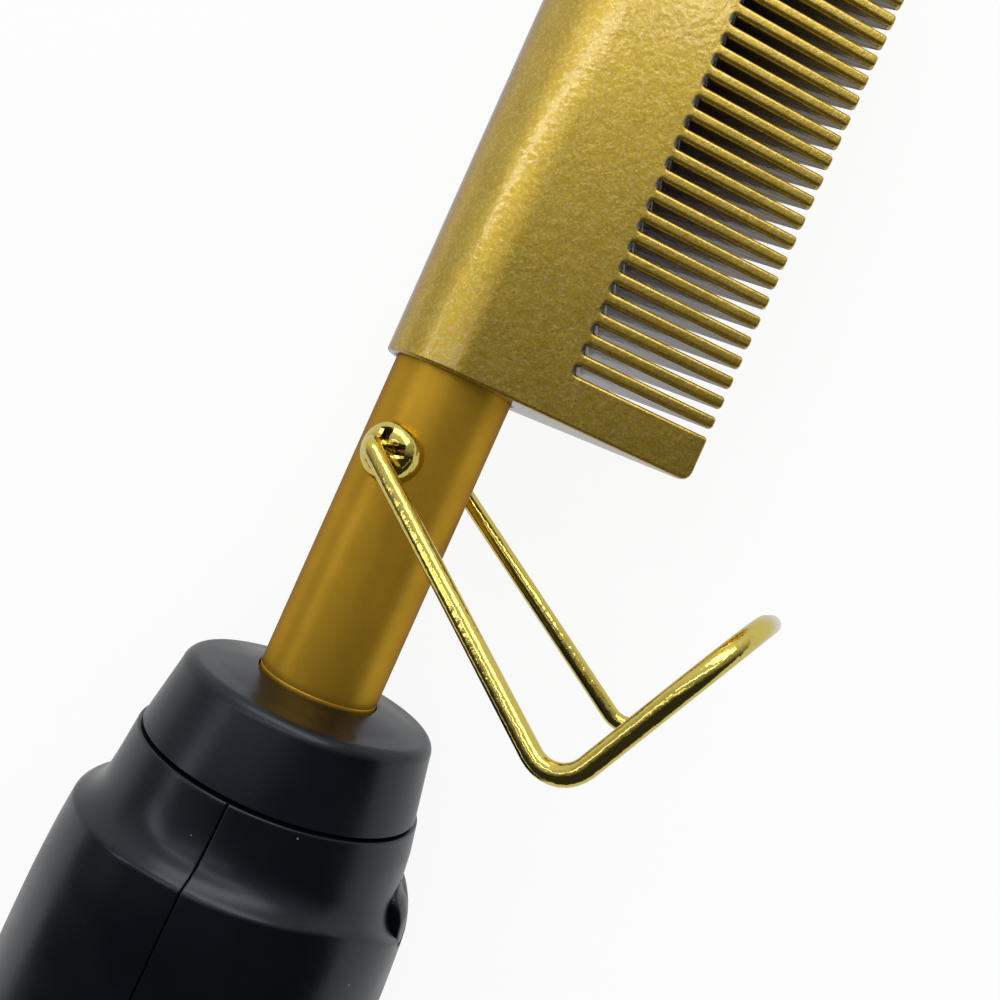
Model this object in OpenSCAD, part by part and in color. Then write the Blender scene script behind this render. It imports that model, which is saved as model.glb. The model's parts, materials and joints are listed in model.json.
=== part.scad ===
// Electric hot comb: a heated comb head on a barrel, a swinging wire stand and a moulded handle.
// X runs along the tool from the mouth of the cord outlet to the comb's tip.
// The teeth point to -Y, Z is up through the comb's thickness, and the tool's axis is Y = Z = 0.

/* [Comb head] */
// Radius of the comb's round spine
spine_r = 8.9; // [8.6:0.1:10.5]
// Reach of the teeth from the tool's axis
tooth_reach = 30.5; // [26:0.5:38]
// Thickness of the comb at the tooth tips
tip_thickness = 1.4; // [1:0.1:2.4]
// Number of slots between the teeth
slot_count = 34; // [30:1:44]
// Width of one slot
slot_width = 1.1; // [0.8:0.05:1.4]
// Distance from one slot to the next
tooth_pitch = 2.58; // [2.4:0.02:3.2]
// Distance from the tool's axis to the roots of the slots
slot_root = 13.55; // [12.5:0.05:17]
// Length of the solid block at each end of the comb
end_block = 5.7; // [4:0.1:9]
// Radius of the comb's corners beside the teeth
block_corner = 1.2; // [0.6:0.1:1.8]
// Depth of the socket that takes the barrel
socket_depth = 9; // [6:0.5:14]
// Radius of the set screw behind the socket
set_screw_r = 1.5; // [1:0.1:2]

/* [Heater] */
// Radius of the bore that holds the heater
heater_bore_r = 5.2; // [4.8:0.1:5.6]
// Length of the ceramic heater bar
heater_len = 66; // [40:1:70]
// Width of the heater bar
heater_w = 8; // [7:0.5:8.6]
// Thickness of the heater bar
heater_t = 2.4; // [1.6:0.1:2.6]
// Radius of the temperature sensor
sensor_r = 1; // [0.8:0.05:1.1]
// Length of the temperature sensor
sensor_len = 5; // [3:0.5:12]
// Length of the ceramic bush behind the heater
bush_len = 10; // [6:0.5:12]
// Radius of the thermal fuse
fuse_r = 1.6; // [1.2:0.1:1.8]
// Length of the thermal fuse
fuse_len = 10; // [6:0.5:11]
// Radius of an insulated heater lead
lead_r = 0.7; // [0.5:0.05:0.9]
// Distance of the heater leads from the tool's axis
lead_side = 3; // [2.8:0.1:3.2]
// Radius of a sensor lead
sensor_lead_r = 0.45; // [0.3:0.05:0.5]

/* [Barrel] */
// Outer diameter of the barrel
barrel_d = 15; // [14.4:0.1:15.4]
// Wall thickness of the barrel
barrel_wall = 1.2; // [0.8:0.1:1.4]
// Bare length of the barrel from the collar to the comb head
barrel_run = 41.3; // [38:0.5:70]
// Length of the barrel below the top of the collar
barrel_seat = 14; // [12:0.5:16]
// Radius of the flange ring on the barrel's foot
flange_r = 12; // [11.6:0.1:12.6]
// Thickness of the flange ring
flange_t = 1.5; // [1:0.1:2]

/* [Wire stand] */
// Diameter of the stand's wire
wire_d = 2.2; // [2:0.02:2.6]
// Distance of the stand's pivot from the top of the collar
pivot_rise = 30.3; // [28:0.1:32]
// Angle by which the pivot is turned about the barrel towards the spine
stand_clock = 13; // [0:1:20]
// Angle between the legs and the handle as the stand rests
leg_angle = 57.5; // [40:0.5:80]
// Length of a leg along the stand
leg_len = 41.2; // [38:0.1:48]
// Length by which the far leg is bent shorter than the near one
leg_skew = 0.9; // [0:0.1:2]
// Distance of a leg from the stand's middle at the pivot
pivot_half = 13.7; // [12.6:0.1:14.5]
// Distance of a leg from the stand's middle at the foot
foot_half = 20.4; // [20:0.1:28]
// Length of the foot beyond the legs
foot_len = 24; // [18:0.2:26]
// Angle between a leg and the foot
foot_angle = 96.3; // [88:0.1:100]
// Bend radius at the pivot ends
pivot_bend = 1.8; // [1.6:0.1:3]
// Bend radius where the legs meet the foot
foot_bend = 3.7; // [2:0.1:5]
// Bend radius at the corners of the cross bar
bar_bend = 10; // [3:0.5:12]
// Radius of a pivot screw's head
screw_head_r = 3.65; // [3.3:0.05:4]
// Height of a pivot screw's head
screw_head_h = 2.9; // [2.4:0.1:3.2]
// Radius of a pivot screw's thread
screw_r = 2; // [1.6:0.1:2.2]

/* [Collar] */
// Radius of the collar at its top, before its edge is rounded
collar_top_r = 16; // [15.6:0.1:16.6]
// Radius of the collar at the seam with the handle
collar_seam_r = 17.45; // [17:0.05:17.7]
// Length of the collar from its top to the seam
collar_len = 9.6; // [9:0.1:13]
// Rounding of the collar's top edge
collar_edge = 1.7; // [1:0.1:2.2]
// Height by which the collar's top rises to the barrel
collar_dome = 1; // [0.4:0.1:1.6]
// Thickness of the collar's top plate
collar_plate = 2.2; // [1.8:0.1:2.8]

/* [Handle] */
// Wall thickness of the handle
shell_wall = 2.2; // [1.8:0.1:2.6]
// Radius of the handle at the seam with the collar
seam_r = 17.75; // [17.6:0.05:18.2]
// Length of the neck from the seam to the waist
neck_len = 7; // [6.5:0.1:9]
// Radius of the neck at the waist
waist_r = 19.05; // [18.9:0.05:19.6]
// Length of the flare from the waist to the shoulder
flare_len = 3; // [2.4:0.1:5]
// Radius of the shoulder
shoulder_r = 21.1; // [20.4:0.1:22]
// Length from the shoulder to the widest place of the belly
belly_len = 22.4; // [20:0.2:32]
// Radius of the belly
belly_r = 22.2; // [21.8:0.1:24]
// Length from the belly to the end of the grip
grip_len = 56; // [54:0.5:80]
// Radius at the end of the grip
grip_r = 17.6; // [16.8:0.1:20]
// Length from the end of the grip to the tail face
tail_len = 24; // [22:0.5:34]
// Radius at the tail, before its edge is rounded
tail_r = 15.2; // [14.2:0.1:16.4]
// Rounding of the tail's edge
tail_edge = 5; // [3:0.1:5.5]
// Radius of a handle screw's thread
case_screw_r = 1.45; // [1.2:0.05:1.6]
// Distance of the two upper handle screws from the middle
case_screw_side = 15.2; // [14.9:0.1:15.6]

/* [Button and board] */
// Width of the power button across the handle
button_w = 4.6; // [4.2:0.1:5.4]
// Length of the power button along the handle
button_len = 6.6; // [6:0.1:7.4]
// Distance of the button's middle below the top of the collar
button_drop = 19.5; // [19.2:0.1:21]
// Height by which the button stands out of the handle
button_proud = 0.6; // [0.5:0.1:1.6]
// Travel of the button
button_travel = 0.7; // [0.4:0.05:0.8]
// Height of the tactile switch
switch_h = 3.5; // [3:0.1:4]
// Width of the circuit board
board_w = 20; // [18:0.5:21]
// Thickness of the circuit board
board_t = 1.6; // [1:0.1:2]
// Distance of the board's inner face from the tool's axis
board_depth = 8; // [7.9:0.1:8.4]

/* [Cord outlet] */
// Length of the outlet in front of the handle's tail
outlet_len = 9; // [6:0.5:14]
// Radius of the hole that takes the cord
cord_hole_r = 3.3; // [2.6:0.05:3.6]
// Depth of the hole that takes the cord
cord_hole_depth = 12; // [10:0.5:14]
// Radius of the outlet at its mouth
outlet_mouth_r = 5.6; // [5.2:0.1:6.4]
// Radius of the outlet beside the handle
outlet_base_r = 7.4; // [7:0.1:8.4]
// Radius of the outlet's neck in the handle's tail
outlet_neck_r = 5.8; // [5.4:0.1:6]

/* [Hidden] */
$fn = 96;

// Clearances
fit_gap = 0.05;
running_gap = 0.07;
bend_step = 0.02;
bend_lap = 0.15;
loose_gap = 0.3;
seam_gap = 0.25;
cut_over = 1;

// Stations along the tool
x_tail = outlet_len;
handle_len = collar_len + neck_len + flare_len + belly_len + grip_len + tail_len;
x_rim = x_tail + handle_len;
x_seam = x_rim - collar_len;
x_waist = x_seam - neck_len;
x_shoulder = x_waist - flare_len;
x_belly = x_shoulder - belly_len;
x_grip = x_belly - grip_len;
x_head = x_rim + barrel_run;
head_len = 2 * end_block + (slot_count - 1) * tooth_pitch + slot_width;
x_tip = x_head + head_len;
x_pivot = x_rim + pivot_rise;
x_button = x_rim - button_drop;

// Barrel and head fits
barrel_r = barrel_d / 2;
barrel_bore_r = barrel_r - barrel_wall;
socket_r = barrel_r + fit_gap;
x_socket = x_head + socket_depth;
x_heater_end = x_socket + heater_len;
x_barrel_foot = x_rim - barrel_seat;
spreader_r = heater_bore_r - fit_gap;
sensor_z = (heater_t / 2 + spreader_r) / 2;
x_bush = x_socket - bush_len;
x_fuse = x_pivot - screw_head_r - fuse_len - cut_over;

// Collar stack, from the top plate down to the handle
stack_r = 13.4;
x_flange_top = x_rim - collar_plate;
x_disc_top = x_flange_top - flange_t;
disc_t = 3.4;
x_disc_foot = x_disc_top - disc_t;
disc_r = stack_r - fit_gap;
flange_screw_circle = 9.9;
flange_screw_r = 1.2;
flange_screw_head_r = 1.9;
flange_screw_head_h = 1.4;
flange_screw_bite = 1.2;
flange_screw_tip_gap = 0.1;

// Handle profile: distance along the tool and radius
stations = [[x_tail + tail_edge, tail_r], [x_grip, grip_r], [x_belly, belly_r],
            [x_shoulder, shoulder_r], [x_waist, waist_r], [x_seam - seam_gap / 2, seam_r]];
last_station = len(stations) - 1;
profile_steps = 7;
arc_steps = 8;

function secant(i) = (stations[i + 1][1] - stations[i][1]) / (stations[i + 1][0] - stations[i][0]);

// Slope at a station: the harmonic mean of its neighbours, or level where they differ in sign
function slope(i) =
    i == 0 ? secant(0)
    : i == last_station ? secant(last_station - 1)
    : secant(i - 1) * secant(i) <= 0 ? 0
    : 2 / (1 / secant(i - 1) + 1 / secant(i));

function station_before(x, i = 0) =
    i >= last_station - 1 || x < stations[i + 1][0] ? i : station_before(x, i + 1);

// Cubic between two stations with the slopes above
function blend(a, b, slope_a, slope_b, span, u) =
    a * (2 * u * u * u - 3 * u * u + 1) + b * (3 * u * u - 2 * u * u * u)
    + span * (slope_a * (u * u * u - 2 * u * u + u) + slope_b * (u * u * u - u * u));

function radius_in(i, u) = blend(stations[i][1], stations[i + 1][1], slope(i), slope(i + 1),
                                 stations[i + 1][0] - stations[i][0], u);

function shell_radius(x, i) = radius_in(i, (x - stations[i][0]) / (stations[i + 1][0] - stations[i][0]));

function handle_radius(x) = shell_radius(x, station_before(x));

function outer_profile() = [for (i = [0 : last_station - 1], k = [0 : profile_steps])
    if (k < profile_steps || i == last_station - 1)
        [radius_in(i, k / profile_steps),
         stations[i][0] + (stations[i + 1][0] - stations[i][0]) * k / profile_steps]];

function tail_arc() = [for (k = [0 : arc_steps - 1])
    [tail_r - tail_edge + tail_edge * sin(90 * k / arc_steps),
     x_tail + tail_edge * (1 - cos(90 * k / arc_steps))]];

// Swivelling outlet and its contacts
tail_wall = 3;
swivel_flange_r = 7.6;
swivel_flange_t = 2;
pocket_wall = 2;
x_swivel_flange = x_tail + tail_wall + loose_gap;
x_pocket_wall = x_swivel_flange + swivel_flange_t + loose_gap;
x_cavity = x_pocket_wall + pocket_wall;
stub_r = 5.3;
wire_way_r = 2.2;
ring_r = 6.1;
ring_w = 3;
ring_pitch = 6;
ring_start = 2.4;
stub_show = 3;
x_first_ring = x_cavity + ring_start;
x_rings_end = x_first_ring + ring_pitch + ring_w;
x_stub_end = x_rings_end + stub_show;
brush_w = 2;
brush_bite = 1;
brush_near = ring_r + loose_gap;
holder_margin = 2;
holder_t = 2.8;
holder_near = brush_near + 1.8;
holder_side = 6.5;
supply_r = 0.9;
supply_side = 5.2;

// Handle interior
neck_wall = 2;
x_cavity_top = x_seam - seam_gap - neck_wall;
cavity_samples = 44;
boss_skin = 0.4;
spigot_r = stack_r - fit_gap;
spigot_wall = 1.2;
neck_hole_r = barrel_r + loose_gap;
half_gap = 0.05;
case_screw_head_r = 2.7;
case_screw_head_h = 2;
case_screw_seat = 9;
case_screw_bite = 7;
case_recess_reach = 1.6;
case_recess_arm = 0.7;
case_recess_depth = 1;
boss_r = 3.2;
case_upper_drop = 46;
case_lower_rise = 28;
x_case_upper = x_rim - case_upper_drop;
x_case_lower = x_tail + case_lower_rise;
case_screws = [[x_case_upper, case_screw_side], [x_case_upper, -case_screw_side], [x_case_lower, 0]];

// Board and its posts
board_lead_room = 4.8;
board_past_button = 4.3;
board_face = -board_depth;
board_back = board_face - board_t;
x_board_start = x_case_lower + boss_r + board_lead_room;
x_board_end = x_button + board_past_button;
post_r = 1.8;
post_edge = 0.6;
post_side = board_w / 2 - post_r - post_edge;
post_inset = 6;
post_drop = 10;
post_screw_r = 0.9;
post_screw_head_r = 1.6;
post_screw_head_h = 1.2;
post_screw_bite = 5;
post_places = [for (x = [x_board_start + post_inset, x_button - post_drop], side = [-1, 1])
    [x, side * post_side]];

// Parts on the board: [place along the board, place across, length, width, height]
triac_body = [20, 4, 4.5, 10, 9];
triac_tab = [24.5, 4, 1.3, 10, 15];
film_cap = [12, 3, 5, 12, 10];
chip_block = [42, 2, 5, 6.2, 1.5];
cap_along = 34;
cap_across = -3;
cap_r = 4;
cap_h = 11;

// Button, switch and indicator
switch_side = 6;
plunger_r = 1.7;
plunger_bite = 0.7;
plunger_gap = 0.2;
plunger_well = plunger_bite + button_travel + plunger_gap;
plunger_show = 1.2;
switch_top = board_back - switch_h;
plunger_top = switch_top - plunger_show;
stem_r = 2.2;
stem_len = 0.6;
button_rim = 1.1;
rim_t = 1.1;
rim_gap = 0.2;
rim_inner = plunger_top - stem_len;
rim_outer = rim_inner - rim_t;
pad_face = rim_outer - rim_gap;
pad_margin = 2.5;
button_gap = 0.25;
button_dome_r = 16;
button_top = -(handle_radius(x_button) + button_proud);
indicator_drop = 38;
x_lens = x_rim - indicator_drop;
lens_r = 1.6;
lens_flange_r = 2.4;
lens_flange_t = 1;
led_r = 1.5;
led_h = 3;

// Leads
x_leads_turn = x_barrel_foot - 2;
x_heater_pads = x_leads_turn - 9;
heater_pad_side = 7;
heater_lead_bend = 2;
heater_pad_bend = 1.2;
sensor_lead_side = sensor_lead_r + 2 * fit_gap;
sensor_lead_spread = 1.1;
sensor_lead_low = 1.2;
sensor_lead_drop = 3.5;
sensor_lead_bend = 1.5;
sensor_pad_bend = 1;
sensor_pad_y = -4;
x_sensor_turn = x_barrel_foot - 1;
x_sensor_pads = x_sensor_turn - 5;
x_supply_pads = x_board_start + 9;
supply_bend = 3;
supply_slant = 7;

// Pivot screws
screw_crown = 0.9;
recess_arm = 0.95;
recess_reach = 2.5;
recess_depth = 1.5;
wire_r = wire_d / 2;
pin_hole_r = wire_r + running_gap;
pin_hole_depth = 1.9;
head_top = barrel_r + screw_head_h;
nut_af = 7;
nut_t = 2.2;
nut_seat = sqrt(barrel_bore_r * barrel_bore_r - nut_af * nut_af / 4) - fit_gap;
nut_foot = nut_seat - nut_t;
shank_show = 0.4;
shank_end = nut_foot - shank_show;

// Set screw in the head
set_screw_foot = barrel_bore_r + barrel_wall / 3;
set_screw_sunk = 0.2;
set_screw_top = spine_r - set_screw_sunk;
hex_key_r = 0.8;
hex_key_depth = 1;

// ---------------------------------------------------------------- helpers

// Turns a shape that stands along Z so that it lies along X, starting at x
module along_x(x) {
    translate([x, 0, 0])
        rotate([0, 90, 0])
            children();
}

module rod_x(x_start, x_end, r) {
    along_x(x_start)
        cylinder(r = r, h = x_end - x_start);
}

// A cylinder along -Y, from y_start out to y_end
module rod_y(x, z, y_start, y_end, r) {
    translate([x, y_start, z])
        rotate([y_end < y_start ? 90 : -90, 0, 0])
            cylinder(r = r, h = abs(y_end - y_start));
}

// Oval along the handle, with round ends, extruded from y_start out to y_end
module oval_y(w, len, y_start, y_end) {
    translate([0, y_start, 0])
        rotate([90, 0, 0])
            linear_extrude(y_start - y_end)
                union() {
                    translate([(w - len) / 2, 0])
                        circle(d = w);
                    translate([(len - w) / 2, 0])
                        circle(d = w);
                    square([len - w, w], center = true);
                }
}

// Unit vector from a to b
function direction(a, b) = (b - a) / norm(b - a);

module straight(a, b, r) {
    d = direction(a, b);
    translate(a)
        rotate([0, acos(d[2]), atan2(d[1], d[0])])
            cylinder(r = r, h = norm(b - a));
}

// Turn of wire at corner b, on the way from a to c
module elbow(a, b, c, bend, r) {
    d1 = direction(a, b);
    d2 = direction(b, c);
    turn = acos(d1 * d2);
    start = b - d1 * bend * tan(turn / 2);
    axis = cross(d1, d2) / norm(cross(d1, d2));
    inward = cross(axis, d1);
    multmatrix([[-inward[0], d1[0], axis[0], start[0] + inward[0] * bend],
                [-inward[1], d1[1], axis[1], start[1] + inward[1] * bend],
                [-inward[2], d1[2], axis[2], start[2] + inward[2] * bend],
                [0, 0, 0, 1]])
        rotate_extrude(angle = turn)
            translate([bend, 0])
                circle(r = r, $fn = 48);
}

// Length that a bend takes off the straight runs beside its corner
function trim(a, b, c, bend) = bend * tan(acos(direction(a, b) * direction(b, c)) / 2);

// Wire through points, bent at each inner point on its own radius.
// A straight run is a hair thinner than its bends and laps into them, so that they join.
module bent_wire(points, bends, r) {
    last = len(points) - 1;
    union() {
        for (i = [0 : last - 1]) {
            a = points[i];
            b = points[i + 1];
            cut_a = i == 0 ? 0 : trim(points[i - 1], a, b, bends[i]) - bend_lap;
            cut_b = i == last - 1 ? 0 : trim(a, b, points[i + 2], bends[i + 1]) - bend_lap;
            straight(a + direction(a, b) * cut_a, b - direction(a, b) * cut_b, r - bend_step);
        }
        for (i = [1 : last - 1])
            elbow(points[i - 1], points[i], points[i + 1], bends[i], r);
    }
}

// Solid of revolution of the whole handle, seam to tail, grown by extra
module handle_solid(extra = 0) {
    rotate([0, 90, 0])
        rotate_extrude()
            polygon(concat([[0, x_tail - extra], [tail_r - tail_edge + extra, x_tail - extra]],
                           [for (p = concat(tail_arc(), outer_profile())) [p[0] + extra, p[1]]],
                           [[0, x_seam - seam_gap / 2]]));
}

module cavity_solid() {
    rotate([0, 90, 0])
        rotate_extrude()
            polygon(concat([[0, x_cavity]],
                           [for (k = [0 : cavity_samples])
                                let (x = x_cavity + (x_cavity_top - x_cavity) * k / cavity_samples)
                                [handle_radius(x) - shell_wall, x]],
                           [[0, x_cavity_top]]));
}

// Both halves of the handle in one, before they are split and pierced
module handle_body() {
    difference() {
        union() {
            difference() {
                handle_solid();
                cavity_solid();
            }
            intersection() {
                handle_solid(-boss_skin);
                union() {
                    for (place = case_screws)
                        rod_y(place[0], place[1], belly_r, -belly_r, boss_r);
                    translate([x_button, 0, 0])
                        oval_y(button_w + 2 * pad_margin, button_len + 2 * pad_margin, pad_face, -belly_r);
                    for (place = post_places)
                        rod_y(place[0], place[1], board_back, -belly_r, post_r);
                }
            }
            rod_x(x_seam - seam_gap, x_disc_foot - fit_gap, spigot_r);
        }
        rod_x(x_seam - seam_gap, x_disc_foot, spigot_r - spigot_wall);
        rod_x(x_cavity_top - cut_over, x_seam, neck_hole_r);
        swivel_room();
        case_screw_room();
        button_room();
        board_room();
        rod_y(x_lens, 0, 0, -belly_r - cut_over, lens_r + fit_gap);
    }
}

// Space for the outlet's neck, flange and contact stub
module swivel_room() {
    rod_x(x_tail - cut_over, x_tail + tail_wall + cut_over, outlet_neck_r + loose_gap);
    rod_x(x_tail + tail_wall, x_pocket_wall, swivel_flange_r + loose_gap);
    rod_x(x_pocket_wall - cut_over, x_cavity + cut_over, stub_r + loose_gap);
}

module case_screw_room() {
    for (place = case_screws) {
        rod_y(place[0], place[1], 0, case_screw_seat + cut_over, case_screw_r + loose_gap / 2);
        rod_y(place[0], place[1], 0, -case_screw_bite - cut_over, case_screw_r + fit_gap);
        rod_y(place[0], place[1], case_screw_seat, belly_r + cut_over, case_screw_head_r + loose_gap);
    }
}

module button_room() {
    translate([x_button, 0, 0]) {
        oval_y(button_w + 2 * button_gap, button_len + 2 * button_gap, board_back, -belly_r - cut_over);
        oval_y(button_w + 2 * button_rim + 2 * loose_gap, button_len + 2 * button_rim + 2 * loose_gap,
               board_back, pad_face);
    }
}

// Space for the board, and the pilot holes in its posts
module board_room() {
    translate([x_board_start - loose_gap, board_back, -board_w / 2 - loose_gap])
        cube([x_board_end - x_board_start + 2 * loose_gap, board_t + cut_over, board_w + 2 * loose_gap]);
    for (place = post_places)
        rod_y(place[0], place[1], board_back + cut_over, board_back - post_screw_bite - cut_over / 2,
              post_screw_r + fit_gap);
}

// ---------------------------------------------------------------- comb head and heater

module comb_head() {
    half = tip_thickness / 2;
    flank_r = spine_r - bend_step;
    flank = asin(flank_r / norm([tooth_reach, half])) - atan2(half, tooth_reach);
    touch = flank_r * [-sin(flank), cos(flank)];
    color("#8a7a2e")
        difference() {
            intersection() {
                union() {
                    rod_x(x_head, x_tip, spine_r);
                    translate([x_head, 0, 0])
                        rotate([90, 0, 90])
                            linear_extrude(head_len)
                                polygon([[-tooth_reach, half], touch, [0, 0], [touch[0], -touch[1]],
                                         [-tooth_reach, -half]]);
                }
                translate([0, 0, -spine_r - cut_over])
                    linear_extrude(2 * spine_r + 2 * cut_over)
                        comb_outline();
            }
            rod_x(x_head - cut_over, x_socket, socket_r);
            rod_x(x_socket - cut_over, x_heater_end + fit_gap, heater_bore_r);
            rod_y(x_head + socket_depth / 2, 0, 0, spine_r + cut_over, set_screw_r + fit_gap);
        }
}

// Side view of the comb with its slots, with small round corners at both ends of the teeth
module comb_outline() {
    x_slots = x_head + end_block;
    difference() {
        union() {
            translate([x_head, -tooth_reach + block_corner])
                square([head_len, tooth_reach - block_corner + spine_r + cut_over]);
            translate([x_head + block_corner, -tooth_reach])
                square([head_len - 2 * block_corner, 2 * block_corner]);
            for (x = [x_head + block_corner, x_tip - block_corner])
                translate([x, -tooth_reach + block_corner])
                    circle(r = block_corner, $fn = 48);
        }
        for (i = [0 : slot_count - 1])
            translate([x_slots + i * tooth_pitch, -tooth_reach - cut_over])
                square([slot_width, tooth_reach + cut_over - slot_root]);
    }
}

module head_set_screw() {
    color("#3a3a3c")
        translate([x_head + socket_depth / 2, 0, 0])
            rotate([-90, 0, 0])
                difference() {
                    translate([0, 0, set_screw_foot])
                        cylinder(r = set_screw_r, h = set_screw_top - set_screw_foot);
                    translate([0, 0, set_screw_top - hex_key_depth])
                        cylinder(r = hex_key_r, h = hex_key_depth + cut_over, $fn = 6);
                }
}

module heater_bar() {
    color("#d8d4c8")
        translate([x_socket + fit_gap, -heater_w / 2, -heater_t / 2])
            cube([heater_len - 2 * fit_gap, heater_w, heater_t]);
}

// Half-round block that carries the heat from the bar to the bore
module spreader() {
    difference() {
        rod_x(x_socket + fit_gap, x_heater_end - fit_gap, spreader_r);
        translate([x_socket - cut_over, -spreader_r - cut_over, -2 * spreader_r])
            cube([heater_len + 2 * cut_over, 2 * spreader_r + 2 * cut_over,
                  2 * spreader_r + heater_t / 2 + fit_gap]);
    }
}

module spreader_upper() {
    color("#b4b6ba")
        difference() {
            spreader();
            translate([0, 0, sensor_z])
                rod_x(x_socket - cut_over, x_socket + sensor_len + 2 * fit_gap, sensor_r + fit_gap);
        }
}

module spreader_lower() {
    color("#b4b6ba")
        mirror([0, 0, 1])
            spreader();
}

module temperature_sensor() {
    color("#c46a3a")
        translate([0, 0, sensor_z])
            rod_x(x_socket + fit_gap, x_socket + sensor_len, sensor_r);
}

module ceramic_bush() {
    color("#ece8dc")
        difference() {
            rod_x(x_bush, x_socket, barrel_bore_r - fit_gap);
            for (side = [-1, 1]) {
                translate([0, side * lead_side, 0])
                    rod_x(x_bush - cut_over, x_socket + cut_over, lead_r + fit_gap);
                translate([0, side * sensor_lead_side, sensor_z])
                    rod_x(x_bush - cut_over, x_socket + cut_over, sensor_lead_r + fit_gap);
            }
        }
}

module thermal_fuse() {
    color("#9aa0a4")
        translate([0, -lead_side, 0])
            rod_x(x_fuse, x_fuse + fuse_len, fuse_r);
}

// Two insulated wires from the heater bar to the board, the fuse in one of them
module heater_leads() {
    color("#e6e2d4")
        union() {
            translate([0, -lead_side, 0])
                rod_x(x_fuse + fuse_len, x_socket + fit_gap, lead_r);
            heater_lead(x_fuse, -1);
            heater_lead(x_socket + fit_gap, 1);
        }
}

// One lead on the given side of the tool's axis, from x_start down the barrel to its pad on the board
module heater_lead(x_start, side) {
    bent_wire([[x_start, side * lead_side, 0], [x_leads_turn, side * lead_side, 0],
               [x_heater_pads, side * lead_side - 1, side * heater_pad_side],
               [x_heater_pads, board_face, side * heater_pad_side]],
              [0, heater_lead_bend, heater_pad_bend, 0], lead_r);
}

module sensor_leads() {
    x_drop = x_bush - sensor_lead_bend;
    color("#d8b040")
        for (side = [-1, 1])
            bent_wire([[x_socket + fit_gap, side * sensor_lead_side, sensor_z],
                       [x_drop, side * sensor_lead_side, sensor_z],
                       [x_drop - sensor_lead_drop, side * sensor_lead_spread, sensor_lead_low],
                       [x_sensor_turn, side * sensor_lead_spread, sensor_lead_low],
                       [x_sensor_pads, sensor_pad_y, (1 + side) * sensor_lead_low],
                       [x_sensor_pads, board_face, (1 + side) * sensor_lead_low]],
                      [0, sensor_lead_bend, sensor_lead_bend, sensor_lead_bend, sensor_pad_bend, 0],
                      sensor_lead_r);
}

// ---------------------------------------------------------------- barrel and its seat

// Turns about the tool's axis so that Z becomes the pivot's own direction
module at_pivot() {
    translate([x_pivot, 0, 0])
        rotate([-stand_clock, 0, 0])
            children();
}

module barrel() {
    color("#9c7a24")
        difference() {
            rod_x(x_barrel_foot, x_socket - fit_gap, barrel_r);
            rod_x(x_barrel_foot - cut_over, x_socket + cut_over, barrel_bore_r);
            at_pivot()
                cylinder(r = screw_r + fit_gap, h = 4 * barrel_r, center = true);
            rod_y(x_head + socket_depth / 2, 0, 0, barrel_r + cut_over, set_screw_r + fit_gap);
        }
}

module barrel_flange() {
    color("#b8bcc0")
        difference() {
            rod_x(x_disc_top + fit_gap, x_flange_top - fit_gap, flange_r);
            rod_x(x_disc_top - cut_over, x_flange_top + cut_over, barrel_r + fit_gap);
            flange_screw_holes(flange_screw_r + fit_gap);
        }
}

module flange_screw_holes(r) {
    for (side = [-1, 1])
        translate([0, 0, side * flange_screw_circle])
            rod_x(x_disc_foot - cut_over, x_flange_top + flange_screw_bite + flange_screw_tip_gap, r);
}

module insulating_disc() {
    color("#6a4a2c")
        difference() {
            rod_x(x_disc_foot, x_disc_top, disc_r);
            rod_x(x_disc_foot - cut_over, x_disc_top + cut_over, barrel_r + fit_gap);
            flange_screw_holes(flange_screw_r + fit_gap);
            for (side = [-1, 1])
                translate([0, 0, side * flange_screw_circle])
                    rod_x(x_disc_foot - cut_over, x_disc_foot + flange_screw_head_h,
                          flange_screw_head_r + fit_gap);
        }
}

module flange_screws() {
    color("#b0b2b6")
        for (side = [-1, 1])
            translate([0, 0, side * flange_screw_circle]) {
                rod_x(x_disc_foot, x_disc_foot + flange_screw_head_h, flange_screw_head_r);
                rod_x(x_disc_foot, x_flange_top + flange_screw_bite, flange_screw_r);
            }
}

// ---------------------------------------------------------------- stand

module pivot_screws() {
    color("#c8b250")
        for (side = [0, 1])
            at_pivot()
                mirror([0, 0, side])
                    pivot_screw();
}

// Pan-head screw with a cross recess and a blind hole for the end of the wire
module pivot_screw() {
    crown_r = (screw_head_r * screw_head_r + screw_crown * screw_crown) / (2 * screw_crown);
    difference() {
        union() {
            translate([0, 0, shank_end])
                cylinder(r = screw_r, h = head_top - screw_crown - shank_end);
            difference() {
                cylinder(r = screw_head_r, h = head_top - screw_crown);
                rotate([0, 90, 0])
                    cylinder(r = barrel_r + fit_gap, h = 4 * screw_head_r, center = true);
            }
            intersection() {
                translate([0, 0, head_top - crown_r])
                    sphere(r = crown_r);
                translate([0, 0, head_top - screw_crown])
                    cylinder(r = screw_head_r, h = 2 * screw_crown);
            }
        }
        for (turn = [0, 90])
            rotate([0, 0, turn])
                translate([-recess_reach, -recess_arm / 2, head_top - recess_depth])
                    cube([2 * recess_reach, recess_arm, recess_depth + cut_over]);
        translate([0, 0, head_top - pin_hole_depth])
            cylinder(r = pin_hole_r, h = pin_hole_depth + cut_over);
    }
}

module pivot_nuts() {
    color("#b0b2b6")
        for (side = [0, 1])
            at_pivot()
                mirror([0, 0, side])
                    translate([0, 0, nut_foot])
                        difference() {
                            cylinder(d = nut_af / cos(30), h = nut_t, $fn = 6);
                            translate([0, 0, -cut_over])
                                cylinder(r = screw_r + fit_gap, h = nut_t + 2 * cut_over);
                        }
}

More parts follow.
